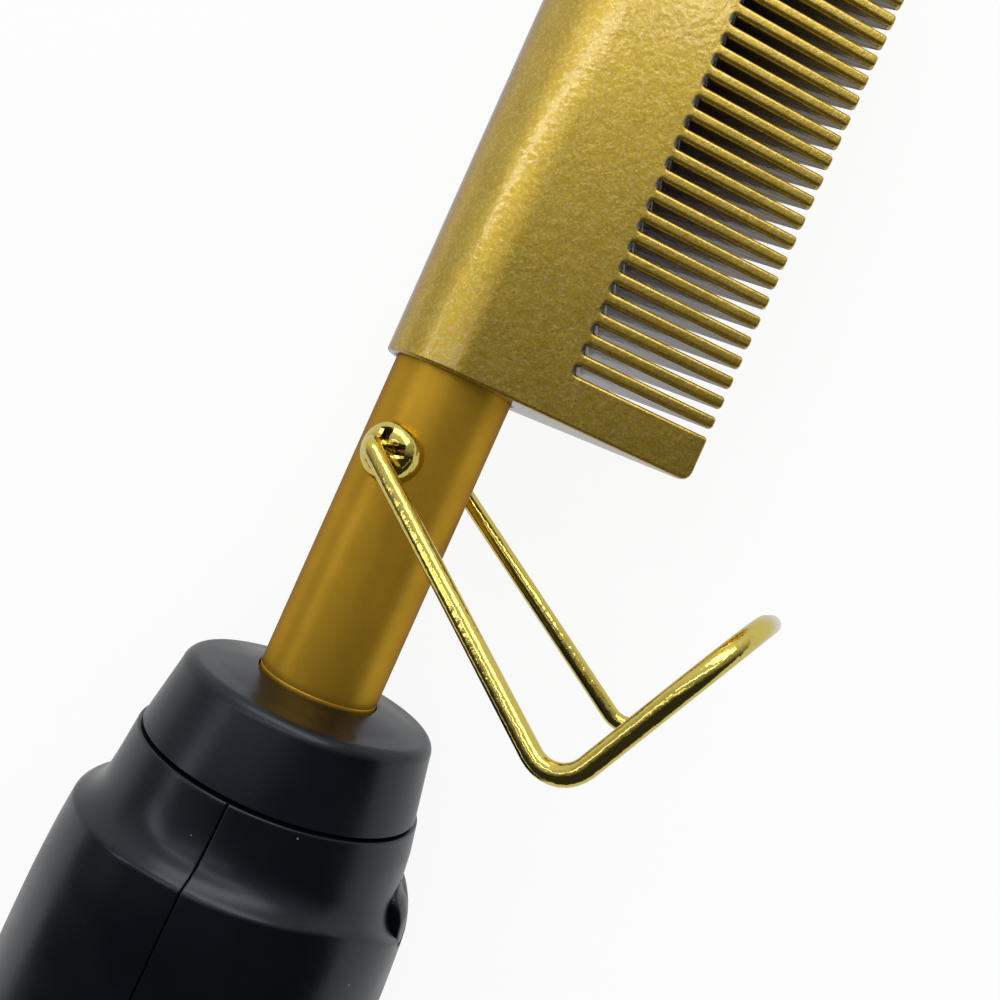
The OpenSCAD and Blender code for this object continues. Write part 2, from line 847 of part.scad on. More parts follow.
// One bent wire: into the near screw, down a leg, round the foot and back up to the far screw
module wire_stand() {
    pin_end = head_top - pin_hole_depth + 2 * running_gap;
    bar_along = leg_len + foot_len * cos(foot_angle);
    bar_out = foot_len * sin(foot_angle);
    half_path = [[0, 0, pin_end], [0, 0, pivot_half], [leg_len, 0, foot_half],
                 [bar_along, bar_out, foot_half]];
    far_path = [for (i = [len(half_path) - 1 : -1 : 0])
        [half_path[i][0] - (i > 1 ? leg_skew : 0), half_path[i][1], -half_path[i][2]]];
    color("#c4b04a")
        at_pivot()
            rotate([0, 0, 180 + leg_angle])
                bent_wire(concat(half_path, far_path),
                          [0, pivot_bend, foot_bend, bar_bend, bar_bend, foot_bend, pivot_bend, 0], wire_r);
}

// ---------------------------------------------------------------- collar and handle

module collar() {
    foot = x_seam + seam_gap / 2;
    edge_arc = [for (k = [0 : arc_steps])
        [collar_top_r - collar_edge + collar_edge * sin(90 * k / arc_steps),
         x_rim - collar_edge + collar_edge * cos(90 * k / arc_steps)]];
    color("#2a2d31")
        difference() {
            rotate([0, 90, 0])
                rotate_extrude()
                    polygon(concat([[0, x_rim + collar_dome], [barrel_r, x_rim + collar_dome]],
                                   edge_arc, [[collar_seam_r, foot], [0, foot]]));
            rod_x(foot - cut_over, x_flange_top, stack_r);
            rod_x(foot - cut_over, x_rim + 2 * collar_dome, barrel_r + fit_gap);
            flange_screw_holes(flange_screw_r + fit_gap);
        }
}

// Tooth side of the handle, with the button and the board's posts
module handle_front() {
    color("#1b1e22")
        intersection() {
            handle_body();
            translate([0, -2 * belly_r - half_gap, -2 * belly_r])
                cube([x_rim, 2 * belly_r, 4 * belly_r]);
        }
}

// Spine side of the handle, with the screw heads
module handle_back() {
    color("#1b1e22")
        intersection() {
            handle_body();
            translate([0, half_gap, -2 * belly_r])
                cube([x_rim, 2 * belly_r, 4 * belly_r]);
        }
}

module handle_screws() {
    color("#8e9196")
        for (place = case_screws)
            difference() {
                union() {
                    rod_y(place[0], place[1], -case_screw_bite, case_screw_seat, case_screw_r);
                    rod_y(place[0], place[1], case_screw_seat, case_screw_seat + case_screw_head_h,
                          case_screw_head_r);
                }
                for (turn = [0, 90])
                    translate([place[0], case_screw_seat + case_screw_head_h - case_recess_depth, place[1]])
                        rotate([0, turn, 0])
                            translate([-case_recess_reach, 0, -case_recess_arm / 2])
                                cube([2 * case_recess_reach, 2 * case_recess_depth, case_recess_arm]);
            }
}

// ---------------------------------------------------------------- board and button

module circuit_board() {
    color("#2f6b3c")
        difference() {
            translate([x_board_start, board_back, -board_w / 2])
                cube([x_board_end - x_board_start, board_t, board_w]);
            for (place = post_places)
                rod_y(place[0], place[1], board_face + cut_over, board_back - cut_over,
                      post_screw_r + fit_gap);
        }
}

module board_screws() {
    color("#b0b2b6")
        for (place = post_places) {
            rod_y(place[0], place[1], board_face, board_back - post_screw_bite, post_screw_r);
            rod_y(place[0], place[1], board_face + post_screw_head_h, board_face, post_screw_head_r);
        }
}

// A block on the board's inner face
module on_board(block) {
    translate([x_board_start + block[0], board_face, block[1] - block[3] / 2])
        cube([block[2], block[4], block[3]]);
}

module triac() {
    color("#2a2a2c")
        union() {
            on_board(triac_body);
            on_board(triac_tab);
        }
}

module film_capacitor() {
    color("#b8892c")
        on_board(film_cap);
}

module smoothing_capacitor() {
    color("#23355c")
        rod_y(x_board_start + cap_along, cap_across, board_face, board_face + cap_h, cap_r);
}

module control_chip() {
    color("#1c1c1e")
        on_board(chip_block);
}

module tact_switch() {
    color("#26282b")
        translate([x_button, 0, 0])
            difference() {
                translate([-switch_side / 2, switch_top, -switch_side / 2])
                    cube([switch_side, switch_h, switch_side]);
                rod_y(0, 0, switch_top + plunger_well, switch_top - cut_over, plunger_r + running_gap);
            }
}

module switch_plunger() {
    color("#c8ccd0")
        rod_y(x_button, 0, switch_top + plunger_bite, plunger_top, plunger_r);
}

// Oval push button with a domed face, a rim that keeps it in and a stem to the switch
module power_button() {
    color("#3a3e43")
        translate([x_button, 0, 0])
            union() {
                intersection() {
                    oval_y(button_w, button_len, rim_outer, button_top - cut_over);
                    translate([0, button_top + button_dome_r, 0])
                        sphere(r = button_dome_r);
                }
                oval_y(button_w + 2 * button_rim, button_len + 2 * button_rim, rim_inner, rim_outer);
                rod_y(0, 0, plunger_top, rim_inner, stem_r);
            }
}

module indicator_led() {
    color("#e8e4dc")
        rod_y(x_lens, 0, board_back, board_back - led_h, led_r);
}

module indicator_lens() {
    wall_y = -(handle_radius(x_lens) - shell_wall);
    color("#c8402c")
        union() {
            rod_y(x_lens, 0, board_back - led_h - loose_gap, -handle_radius(x_lens), lens_r);
            rod_y(x_lens, 0, wall_y + lens_flange_t + loose_gap, wall_y + loose_gap, lens_flange_r);
        }
}

// ---------------------------------------------------------------- cord outlet and swivel contacts

module cord_outlet() {
    color("#202226")
        difference() {
            union() {
                along_x(0)
                    cylinder(r1 = outlet_mouth_r, r2 = outlet_base_r, h = x_tail - loose_gap);
                rod_x(x_tail - cut_over, x_stub_end, stub_r);
                rod_x(x_tail - cut_over, x_swivel_flange + cut_over, outlet_neck_r);
                rod_x(x_swivel_flange, x_swivel_flange + swivel_flange_t, swivel_flange_r);
            }
            rod_x(-cut_over, cord_hole_depth, cord_hole_r);
            rod_x(cord_hole_depth - cut_over, x_stub_end + cut_over, wire_way_r);
        }
}

module contact_rings() {
    color("#b87a3c")
        for (x = [x_first_ring, x_first_ring + ring_pitch])
            difference() {
                rod_x(x, x + ring_w, ring_r);
                rod_x(x - cut_over, x + ring_w + cut_over, stub_r + fit_gap);
            }
}

module brush_holder() {
    color("#5a3c28")
        difference() {
            translate([x_first_ring - holder_margin, holder_near, -holder_side])
                cube([x_rings_end - x_first_ring + 2 * holder_margin, holder_t, 2 * holder_side]);
            contact_brush_shape(fit_gap);
        }
}

module contact_brush_shape(extra) {
    side = brush_w / 2 + extra;
    for (x = [x_first_ring, x_first_ring + ring_pitch])
        translate([x + ring_w / 2 - side, brush_near, -side])
            cube([2 * side, holder_near + brush_bite - brush_near + extra, 2 * side]);
}

module contact_brushes() {
    color("#4a4a4e")
        contact_brush_shape(0);
}

module supply_leads() {
    mid_y = holder_near + holder_t / 2;
    color("#e0dccc")
        for (side = [-1, 1])
            bent_wire([[x_rings_end + holder_margin, mid_y, side * supply_side],
                       [x_supply_pads - supply_slant, mid_y, side * supply_side],
                       [x_supply_pads, mid_y - supply_slant, side * supply_side],
                       [x_supply_pads, board_face, side * supply_side]],
                      [0, supply_bend, supply_bend, 0], supply_r);
}

comb_head();
head_set_screw();
heater_bar();
spreader_upper();
spreader_lower();
temperature_sensor();
ceramic_bush();
thermal_fuse();
heater_leads();
sensor_leads();
barrel();
barrel_flange();
insulating_disc();
flange_screws();
pivot_screws();
pivot_nuts();
wire_stand();
collar();
handle_front();
handle_back();
handle_screws();
circuit_board();
board_screws();
triac();
film_capacitor();
smoothing_capacitor();
control_chip();
tact_switch();
switch_plunger();
power_button();
indicator_led();
indicator_lens();
brush_holder();
contact_brushes();
contact_rings();
cord_outlet();
supply_leads();
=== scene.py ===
import json
import math

import bmesh
import bpy
import numpy as np
from mathutils import Matrix, Vector


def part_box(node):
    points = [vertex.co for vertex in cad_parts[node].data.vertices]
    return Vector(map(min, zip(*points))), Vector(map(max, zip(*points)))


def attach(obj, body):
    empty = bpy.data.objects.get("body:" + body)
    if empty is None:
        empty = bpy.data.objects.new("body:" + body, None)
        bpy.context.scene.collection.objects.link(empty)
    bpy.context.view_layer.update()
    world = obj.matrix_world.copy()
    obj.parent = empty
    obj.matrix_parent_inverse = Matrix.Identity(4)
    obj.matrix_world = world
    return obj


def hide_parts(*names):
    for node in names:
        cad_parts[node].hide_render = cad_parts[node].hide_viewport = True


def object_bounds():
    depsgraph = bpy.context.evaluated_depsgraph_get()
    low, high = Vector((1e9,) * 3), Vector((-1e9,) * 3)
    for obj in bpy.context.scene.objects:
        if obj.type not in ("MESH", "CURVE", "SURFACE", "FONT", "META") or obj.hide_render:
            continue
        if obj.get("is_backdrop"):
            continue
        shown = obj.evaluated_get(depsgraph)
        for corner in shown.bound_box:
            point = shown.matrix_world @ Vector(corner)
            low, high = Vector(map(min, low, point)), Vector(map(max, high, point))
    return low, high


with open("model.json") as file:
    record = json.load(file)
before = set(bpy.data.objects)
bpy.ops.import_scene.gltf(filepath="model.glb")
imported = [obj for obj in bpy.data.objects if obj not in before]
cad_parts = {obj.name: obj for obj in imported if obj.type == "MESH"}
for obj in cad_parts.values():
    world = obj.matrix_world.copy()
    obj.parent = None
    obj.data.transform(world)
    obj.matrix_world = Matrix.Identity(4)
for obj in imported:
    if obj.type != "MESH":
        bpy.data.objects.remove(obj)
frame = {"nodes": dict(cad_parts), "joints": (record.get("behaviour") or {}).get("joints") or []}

bl_info = {
    "name": "Electric hot comb",
    "version": (1, 0, 0),
    "blender": (4, 5, 0),
    "location": "3D View > Sidebar > Hot comb",
    "description": "Builds the outer pieces and finishes of an electric hot comb round its frame",
    "category": "Add Mesh",
}

MM = 0.001
WELD = 1e-6
TURN = 2 * math.pi


# ---------------------------------------------------------------- sizes and colours

def length(name, description, mm):
    """A length property, given in millimetres."""
    return bpy.props.FloatProperty(name=name, description=description, default=mm * MM,
                                   min=0, unit="LENGTH", subtype="DISTANCE", precision=5)


def count(name, description, number):
    """A whole-number property."""
    return bpy.props.IntProperty(name=name, description=description, default=number, min=1)


def linear(hex_colour):
    """Scene-linear RGB of an sRGB colour written as hex."""
    srgb = np.array([int(hex_colour[i:i + 2], 16) for i in (1, 3, 5)]) / 255
    return tuple(np.where(srgb <= 0.04045, srgb / 12.92, ((srgb + 0.055) / 1.055) ** 2.4))


def colour(name, description, hex_colour):
    """A colour property, given as sRGB hex."""
    return bpy.props.FloatVectorProperty(name=name, description=description, subtype="COLOR",
                                         size=3, min=0, max=1, default=linear(hex_colour))


class HeadSizes(bpy.types.PropertyGroup):
    """Sizes of the comb head"""
    spine_radius: length("Spine radius", "Radius of the comb's round spine", 8.9)
    tip_thickness: length("Tip thickness", "Thickness of the comb at the tooth tips", 1.4)
    slot_count: count("Slots", "Number of slots between the teeth", 34)
    slot_width: length("Slot width", "Width of one slot", 1.1)
    tooth_pitch: length("Tooth pitch", "Distance from one slot to the next", 2.58)
    slot_root: length("Slot root", "Distance from the axis to the roots of the slots", 13.55)
    end_block: length("End block", "Length of the solid block at each end", 5.7)
    block_corner: length("Block corner", "Radius of the blocks' corners beside the teeth", 1.2)
    slot_edge: length("Slot edge", "Rounding of the paint over the edges of the slots", 0.46)
    end_edge: length("End edge", "Rounding of the edges at both ends of the head", 0.35)
    socket_depth: length("Socket depth", "Depth of the socket that takes the barrel", 9)
    heater_radius: length("Heater bore", "Radius of the bore that holds the heater", 5.2)
    heater_length: length("Heater length", "Length of the bore that holds the heater", 66.05)


class BarrelSizes(bpy.types.PropertyGroup):
    """Sizes of the barrel and its pivot screws"""
    radius: length("Barrel radius", "Outer radius of the barrel", 7.5)
    wall: length("Barrel wall", "Wall thickness of the barrel", 1.2)
    foot_groove: length("Groove depth", "Depth of the groove above the barrel's foot", 0.06)
    screw_radius: length("Screw head radius", "Radius of a pivot screw's head", 3.65)
    screw_crown: length("Screw crown", "Height of the rounded part of a pivot screw's head", 3.0)
    recess_turn: bpy.props.FloatProperty(name="Recess turn", subtype="ANGLE",
                                         description="Turn of the cross recess about the screw",
                                         default=math.radians(15))
    recess_arm: length("Recess arm", "Width of an arm of the cross recess", 0.95)
    recess_reach: length("Recess reach", "Length of an arm of the cross recess", 2.5)
    recess_depth: length("Recess depth", "Depth of the cross recess", 1.5)


class StandSizes(bpy.types.PropertyGroup):
    """Sizes of the wire stand"""
    wire_radius: length("Wire radius", "Radius of the stand's wire", 1.1)
    leg: length("Leg", "Length of a leg along the stand", 41.2)
    skew: length("Skew", "Length by which the far leg is bent shorter than the near one", 0.9)
    foot: length("Foot", "Length of the foot beyond the legs", 24)
    pivot_half: length("Half width at pivot", "Distance of a leg's pivot from the middle", 13.7)
    foot_half: length("Half width at foot", "Distance of a leg from the middle at the foot", 20.4)
    pin_start: length("Pin start", "Distance of the wire's end from the barrel's axis", 8.64)
    pivot_bend: length("Pivot bend", "Bend radius at the pivot ends", 1.8)
    foot_bend: length("Foot bend", "Bend radius where the legs meet the foot", 3.7)
    bar_bend: length("Bar bend", "Bend radius at the corners of the cross bar", 10)
    leg_angle: bpy.props.FloatProperty(
        name="Leg angle", description="Angle between the legs and the handle at rest",
        default=math.radians(57.5), subtype="ANGLE")
    foot_angle: bpy.props.FloatProperty(
        name="Foot angle", description="Angle between a leg and the foot",
        default=math.radians(96.3), subtype="ANGLE")


class HandleSizes(bpy.types.PropertyGroup):
    """Sizes of the collar and the handle"""
    collar_dome: length("Collar dome", "Rise of the collar's top towards the barrel", 1)
    collar_top: length("Collar top", "Radius of the collar at its top", 16)
    collar_foot: length("Collar foot", "Radius of the collar at the seam", 17.45)
    collar_edge: length("Collar edge", "Rounding of the collar's top edge", 1.7)
    seam_edge: length("Seam edge", "Rounding of the edges along the seams", 0.2)
    seam_gap: length("Parting gap", "Gap between the two halves of the handle", 0.1)
    wall: length("Wall", "Wall thickness of the handle", 2.2)
    neck_radius: length("Neck radius", "Radius of the neck at the seam", 17.85)
    ridge_rise: length("Ridge rise", "Length over which the neck flares to the shoulder", 1.5)
    ridge_drop: length("Ridge drop", "Distance of the ridge below the collar's rim", 18.3)
    ridge_back: length("Back dip", "Dip of the ridge on the side of the spine", 1.5)
    ridge_dip: length("Ridge dip", "Dip of the ridge round the button", 3.2)
    teeth_bulge: length("Bulge", "Extra radius of the handle on the side of the teeth", 0.3)
    tail_hole: length("Tail hole", "Radius of the hole for the cord outlet", 6.1)
    tail_wall: length("Tail wall", "Thickness of the tail's face", 3)
    screw_hole: length("Screw well", "Radius of the wells of the handle screws", 3)
    screw_boss: length("Screw boss", "Radius of the bosses round the wells", 4.2)
    screw_seat: length("Screw seat", "Distance of the screw heads' seats from the middle", 9)


class ButtonSizes(bpy.types.PropertyGroup):
    """Sizes of the power button and the indicator"""
    width: length("Width", "Width of the button across the handle", 4.6)
    length: length("Length", "Length of the button along the handle", 6.6)
    gap: length("Gap", "Gap round the button", 0.25)
    edge: length("Edge", "Rounding of the button's edge", 0.35)
    dome: length("Dome", "Drop of the button's face towards its long sides", 0.35)
    lens_radius: length("Lens radius", "Radius of the indicator's lens", 1.6)


class OutletSizes(bpy.types.PropertyGroup):
    """Sizes of the swivelling cord outlet"""
    mouth_radius: length("Mouth radius", "Radius of the outlet at its mouth", 5.6)
    base_radius: length("Base radius", "Radius of the outlet beside the handle", 7.4)
    hole_radius: length("Cord hole", "Radius of the hole that takes the cord", 3.3)
    hole_depth: length("Hole depth", "Depth of the hole that takes the cord", 12)
    wire_way: length("Wire way", "Radius of the way for the cord's cores", 2.2)
    groove_count: count("Grooves", "Number of flex grooves round the outlet", 4)
    groove_depth: length("Groove depth", "Depth of a flex groove", 0.45)


class Finishes(bpy.types.PropertyGroup):
    """Colours of the finishes"""
    gold_paint: colour("Gold paint", "Colour of the comb head's paint", "#D2B03A")
    gold_flake: colour("Gold flake", "Colour of the bright flakes in the paint", "#F4DF90")
    lacquer: colour("Lacquer", "Colour of the barrel's lacquer", "#CDA032")
    brass: colour("Brass", "Colour of the polished wire and screws", "#E3CF6B")
    collar_plastic: colour("Collar plastic", "Colour of the collar's moulding", "#080B12")
    handle_plastic: colour("Handle plastic", "Colour of the handle's moulding", "#080B11")
    slot_metal: colour("Slot metal", "Colour of the bare metal inside the slots", "#857E6E")


# ---------------------------------------------------------------- places given by the frame

HEAD_FOOT, HEAD_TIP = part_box("comb_head")
COLLAR_FOOT, COLLAR_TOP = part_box("collar")
BARREL_FOOT, BARREL_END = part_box("barrel")
OUTLET_MOUTH, OUTLET_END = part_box("cord_outlet")
BUTTON_LOW, BUTTON_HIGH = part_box("power_button")
LENS_LOW, LENS_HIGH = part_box("indicator_lens")
HANDLE_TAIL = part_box("handle_front")[0]
SCREWS_LOW, SCREWS_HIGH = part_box("handle_screws")
STAND_JOINT = next(j for j in frame["joints"] if j["name"] == "stand_swing")


# ---------------------------------------------------------------- mesh building

def quads(rows, cols, wrap=True):
    """Faces of a grid of points, as corner indices; wrap joins the last column to the first."""
    i, j = np.meshgrid(np.arange(rows - 1), np.arange(cols if wrap else cols - 1), indexing="ij")
    k = (j + 1) % cols
    corners = [i * cols + j, (i + 1) * cols + j, (i + 1) * cols + k, i * cols + k]
    return np.stack(corners, -1).reshape(-1, 4)


def surface(points, wrap=True, keep=None, bare_and_shade=None):
    """A grid of points as a flat list, with its faces and a value per point that marks unpainted
    metal and painted shade.
    keep is a mask of the faces that stay."""
    rows, cols = points.shape[:2]
    faces = quads(rows, cols, wrap)
    if keep is not None:
        faces = faces[keep.reshape(-1)]
    bare_and_shade = np.zeros((rows, cols)) if bare_and_shade is None else bare_and_shade
    return points.reshape(-1, 3), faces, bare_and_shade.reshape(-1)


def stack(x, y, z):
    """Joins three arrays of coordinates, stretched to one shape, into an array of points."""
    return np.stack(np.broadcast_arrays(x, y, z), -1)


def make_piece(name, surfaces, body, nodes, material, sharp=32):
    """Welds surfaces into one mesh with outward faces, and gives it its body and material."""
    starts = np.cumsum([0] + [len(points) for points, _, _ in surfaces])
    points = np.concatenate([points for points, _, _ in surfaces])
    faces = np.concatenate([faces + start for (_, faces, _), start in zip(surfaces, starts)])
    bare_and_shade = np.concatenate([bare_and_shade for _, _, bare_and_shade in surfaces])
    mesh = bpy.data.meshes.new(name)
    mesh.from_pydata(points, [], faces)
    # Stores per point how far it is unpainted metal and how much painted shade it gets
    mesh.attributes.new("bare_and_shade", "FLOAT", "POINT").data.foreach_set("value", bare_and_shade.astype(np.float32))
    work = bmesh.new()
    work.from_mesh(mesh)
    bmesh.ops.remove_doubles(work, verts=work.verts, dist=WELD)
    bmesh.ops.dissolve_degenerate(work, edges=work.edges, dist=WELD / 10)
    bmesh.ops.recalc_face_normals(work, faces=work.faces)
    work.to_mesh(mesh)
    work.free()
    mesh.materials.append(material)
    mesh.shade_smooth()
    mesh.set_sharp_from_angle(angle=math.radians(sharp))
    piece = bpy.data.objects.new(name, mesh)
    bpy.context.scene.collection.objects.link(piece)
    normals = piece.modifiers.new("Face-weighted normals", "WEIGHTED_NORMAL")
    normals.keep_sharp = True
    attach(piece, body)
    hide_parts(*nodes)
    return piece


def turned(profile, turns=128):
    """Surface of revolution round the X axis: each profile point (x, r) becomes a circle."""
    x, r = np.array(profile).T
    around = np.linspace(0, TURN, turns, endpoint=False)
    return stack(x[:, None], r[:, None] * np.cos(around), r[:, None] * np.sin(around))


def corner(x, r, radius, start, end, steps=5):
    """Quarter or other arc of a profile about (x, r), from one angle to another in degrees."""
    angle = np.radians(np.linspace(start, end, steps))
    return list(zip(x + radius * np.cos(angle), r + radius * np.sin(angle)))


def ticks(breaks, step):
    """Rising values that hold every break, at most a step apart."""
    breaks = sorted(breaks)
    runs = [np.linspace(a, b, max(2, math.ceil((b - a) / step) + 1))[:-1]
            for a, b in zip(breaks, breaks[1:])]
    return np.concatenate(runs + [[breaks[-1]]])


def smooth_curve(stations, x):
    """Monotone cubic through (x, value) stations: its slope at each is the harmonic mean of the
    slopes beside it, or level at a peak."""
    sx, sv = np.array(stations).T
    secant = np.diff(sv) / np.diff(sx)
    both = secant[:-1] * secant[1:]
    mean = np.where(both > 0, 2 * both / np.where(both > 0, secant[:-1] + secant[1:], 1), 0)
    slope = np.concatenate([[secant[0]], mean, [secant[-1]]])
    i = np.clip(np.searchsorted(sx, x) - 1, 0, len(sx) - 2)
    span = sx[i + 1] - sx[i]
    u = (x - sx[i]) / span
    return (sv[i] * (2 * u**3 - 3 * u**2 + 1) + sv[i + 1] * (3 * u**2 - 2 * u**3)
            + span * (slope[i] * (u**3 - 2 * u**2 + u) + slope[i + 1] * (u**3 - u**2)))


# ---------------------------------------------------------------- materials

# Tints of the gloss, then painted shade for the roots of the slots and for the recesses of the
# screws, and the colour of dust on the plastic
PAINT_GLOSS, LACQUER_GLOSS, PLASTIC_GLOSS = "#8C7430", "#7C6426", "#E9F3FF"
PAINTED_ROOT_SHADE, PAINTED_RECESS_SHADE, DUST = "#3A3528", "#4A2A12", "#8C9096"

# Noise lies mostly in this span of its range
MIDDLE = {"From Min": 0.35, "From Max": 0.65}


def node(tree, kind, inputs=None, **settings):
    """Adds a shader node with its settings, fills or links its inputs, and returns its outputs."""
    new = tree.nodes.new("ShaderNode" + kind)
    for name, value in settings.items():
        setattr(new, name, value)
    for name, value in (inputs or {}).items():
        socket = new.inputs[name]
        if isinstance(value, bpy.types.NodeSocket):
            tree.links.new(value, socket)
        else:
            socket.default_value = (*value, 1)[:4] if socket.type == "RGBA" else value
    return new.outputs


def start_material(name):
    """A new node material: its tree, its shader and the Object coordinates."""
    material = bpy.data.materials.new(name)
    material.use_nodes = True
    tree = material.node_tree
    return material, tree, tree.nodes["Principled BSDF"], node(tree, "TexCoord")["Object"]


def per(size_mm):
    """Scale of a pattern whose features are about size_mm across."""
    return 1 / (size_mm * MM)


def tinted(rgb, factor):
    """A colour made lighter or darker by a factor."""
    return tuple(min(1, c * factor) for c in rgb)


def fill(tree, shader, base, roughness, normal, metallic=0.0):
    """Links a finish's colour, roughness and bump to its shader, and sets how metallic it is."""
    for name, socket in (("Base Color", base), ("Roughness", roughness), ("Normal", normal)):
        tree.links.new(socket, shader.inputs[name])
    shader.inputs["Metallic"].default_value = metallic


def tint_gloss(shader, hex_colour):
    """Gives the gloss of a finish a tint."""
    shader.inputs["Specular Tint"].default_value = (*linear(hex_colour), 1)


def gold_paint(finish):
    """Metallic powder paint, baked: orange peel 0.9 mm across ripples what its clear coat mirrors,
    a grain of 0.25 mm spreads the paint's own sheen and flakes of 0.24 mm glitter in it. The walls
    of the slots are unpainted metal, because the spray doesn't reach them, and the roots of the
    slots are darkened with painted shade. The flakes are drawn a little coarse, so that they show.
    The point attribute is 1 on a slot's wall and more at its root, where the painted shade lies."""
    material, tree, shader, place = start_material("Metallic powder paint, gold")
    patches = node(tree, "TexNoise", {"Vector": place, "Scale": per(3.5)})["Fac"]
    patches = node(tree, "MapRange", {"Value": patches, **MIDDLE})["Result"]
    base = node(tree, "Mix", {0: patches, 6: tinted(finish.gold_paint, 0.91),
                              7: tinted(finish.gold_paint, 1.02)}, data_type="RGBA")[2]
    flakes = node(tree, "TexVoronoi", {"Vector": place, "Scale": per(0.24)})["Color"]
    flakes = node(tree, "SeparateColor", {"Color": flakes})["Red"]
    flakes = node(tree, "MapRange", {"Value": flakes, "From Min": 0.45, "To Max": 0.42})["Result"]
    base = node(tree, "Mix", {0: flakes, 6: base, 7: finish.gold_flake}, data_type="RGBA")[2]
    bare_and_shade = node(tree, "Attribute", attribute_name="bare_and_shade")["Fac"]
    base = node(tree, "Mix", {0: bare_and_shade, 6: base, 7: finish.slot_metal}, data_type="RGBA")[2]
    # Painted shade: the roots of the slots are darkened towards a deep brown
    root = node(tree, "MapRange", {"Value": bare_and_shade, "From Min": 1, "From Max": 2})["Result"]
    base = node(tree, "Mix", {0: root, 6: base, 7: linear(PAINTED_ROOT_SHADE)}, data_type="RGBA")[2]
    fine = node(tree, "TexNoise", {"Vector": place, "Scale": per(0.25), "Roughness": 0.6})["Fac"]
    roughness = node(tree, "MapRange", {"Value": fine, **MIDDLE, "To Min": 0.28, "To Max": 0.38})
    peel = node(tree, "TexNoise", {"Vector": place, "Scale": per(0.9)})["Fac"]
    peel = node(tree, "Bump", {"Height": peel, "Distance": 0.055 * MM, "Strength": 0.6})["Normal"]
    normal = node(tree, "Bump", {"Height": fine, "Distance": 0.022 * MM, "Strength": 0.8,
                                 "Normal": peel})["Normal"]
    fill(tree, shader, base, roughness["Result"], normal, metallic=0.92)
    tint_gloss(shader, PAINT_GLOSS)
    shader.inputs["Coat Weight"].default_value = 1.0
    shader.inputs["Coat Roughness"].default_value = 0.10
    tree.links.new(peel, shader.inputs["Coat Normal"])
    return material


def satin_lacquer(finish):
    """Tinted lacquer over a drawn steel tube: smooth, with clouds 5 mm across, a fine grain of
    0.3 mm and faint drawing lines 0.5 mm apart."""
    material, tree, shader, place = start_material("Satin lacquer on steel, old gold")
    clouds = node(tree, "TexNoise", {"Vector": place, "Scale": per(5)})["Fac"]
    clouds = node(tree, "MapRange", {"Value": clouds, **MIDDLE})["Result"]
    base = node(tree, "Mix", {0: clouds, 6: tinted(finish.lacquer, 0.92), 7: finish.lacquer},
                data_type="RGBA")[2]
    fine = node(tree, "TexNoise", {"Vector": place, "Scale": per(0.3), "Roughness": 0.6})["Fac"]
    roughness = node(tree, "MapRange", {"Value": fine, **MIDDLE, "To Min": 0.34, "To Max": 0.44})
    peel = node(tree, "Bump", {"Height": fine, "Distance": 0.012 * MM, "Strength": 0.6})["Normal"]
    along = node(tree, "Mapping", {"Vector": place, "Scale": (0.06, 1, 1)})["Vector"]
    lines = node(tree, "TexNoise", {"Vector": along, "Scale": per(0.5)})["Fac"]
    normal = node(tree, "Bump", {"Height": lines, "Distance": 0.006 * MM, "Strength": 0.4,
                                 "Normal": peel})["Normal"]
    fill(tree, shader, base, roughness["Result"], normal, metallic=0.72)
    tint_gloss(shader, LACQUER_GLOSS)
    return material


def polished_brass(finish):
    """Brass-plated steel, polished: nearly a mirror. Ripples 1.1 mm across, left from drawing the
    wire, and nicks of 0.35 mm make its lines of light jagged, and the recesses of the screws get a
    brown painted shade. The ripples are drawn deep, so that they show."""
    material, tree, shader, place = start_material("Polished brass plating")
    nicks = node(tree, "TexNoise", {"Vector": place, "Scale": per(0.35), "Detail": 3,
                                    "Roughness": 0.6})["Fac"]
    dull = node(tree, "MapRange", {"Value": nicks, "From Min": 0.6, "From Max": 0.75,
                                   "To Max": 0.3})["Result"]
    base = node(tree, "Mix", {0: dull, 6: finish.brass, 7: tinted(finish.brass, 0.5)},
                data_type="RGBA")[2]
    # Painted shade: the recesses of the screws are darkened to brown
    recess = node(tree, "Attribute", attribute_name="bare_and_shade")["Fac"]
    recess = node(tree, "MapRange", {"Value": recess, "To Max": 0.85})["Result"]
    base = node(tree, "Mix", {0: recess, 6: base, 7: linear(PAINTED_RECESS_SHADE)}, data_type="RGBA")[2]
    roughness = node(tree, "MapRange", {"Value": nicks, "From Min": 0.5, "From Max": 0.75,
                                        "To Min": 0.08, "To Max": 0.2})["Result"]
    ripple = node(tree, "TexNoise", {"Vector": place, "Scale": per(1.1)})["Fac"]
    ripple = node(tree, "Bump", {"Height": ripple, "Distance": 0.10 * MM, "Strength": 0.6})
    normal = node(tree, "Bump", {"Height": nicks, "Distance": 0.011 * MM, "Strength": 0.6,
                                 "Normal": ripple["Normal"]})["Normal"]
    fill(tree, shader, base, roughness, normal, metallic=1)
    return material


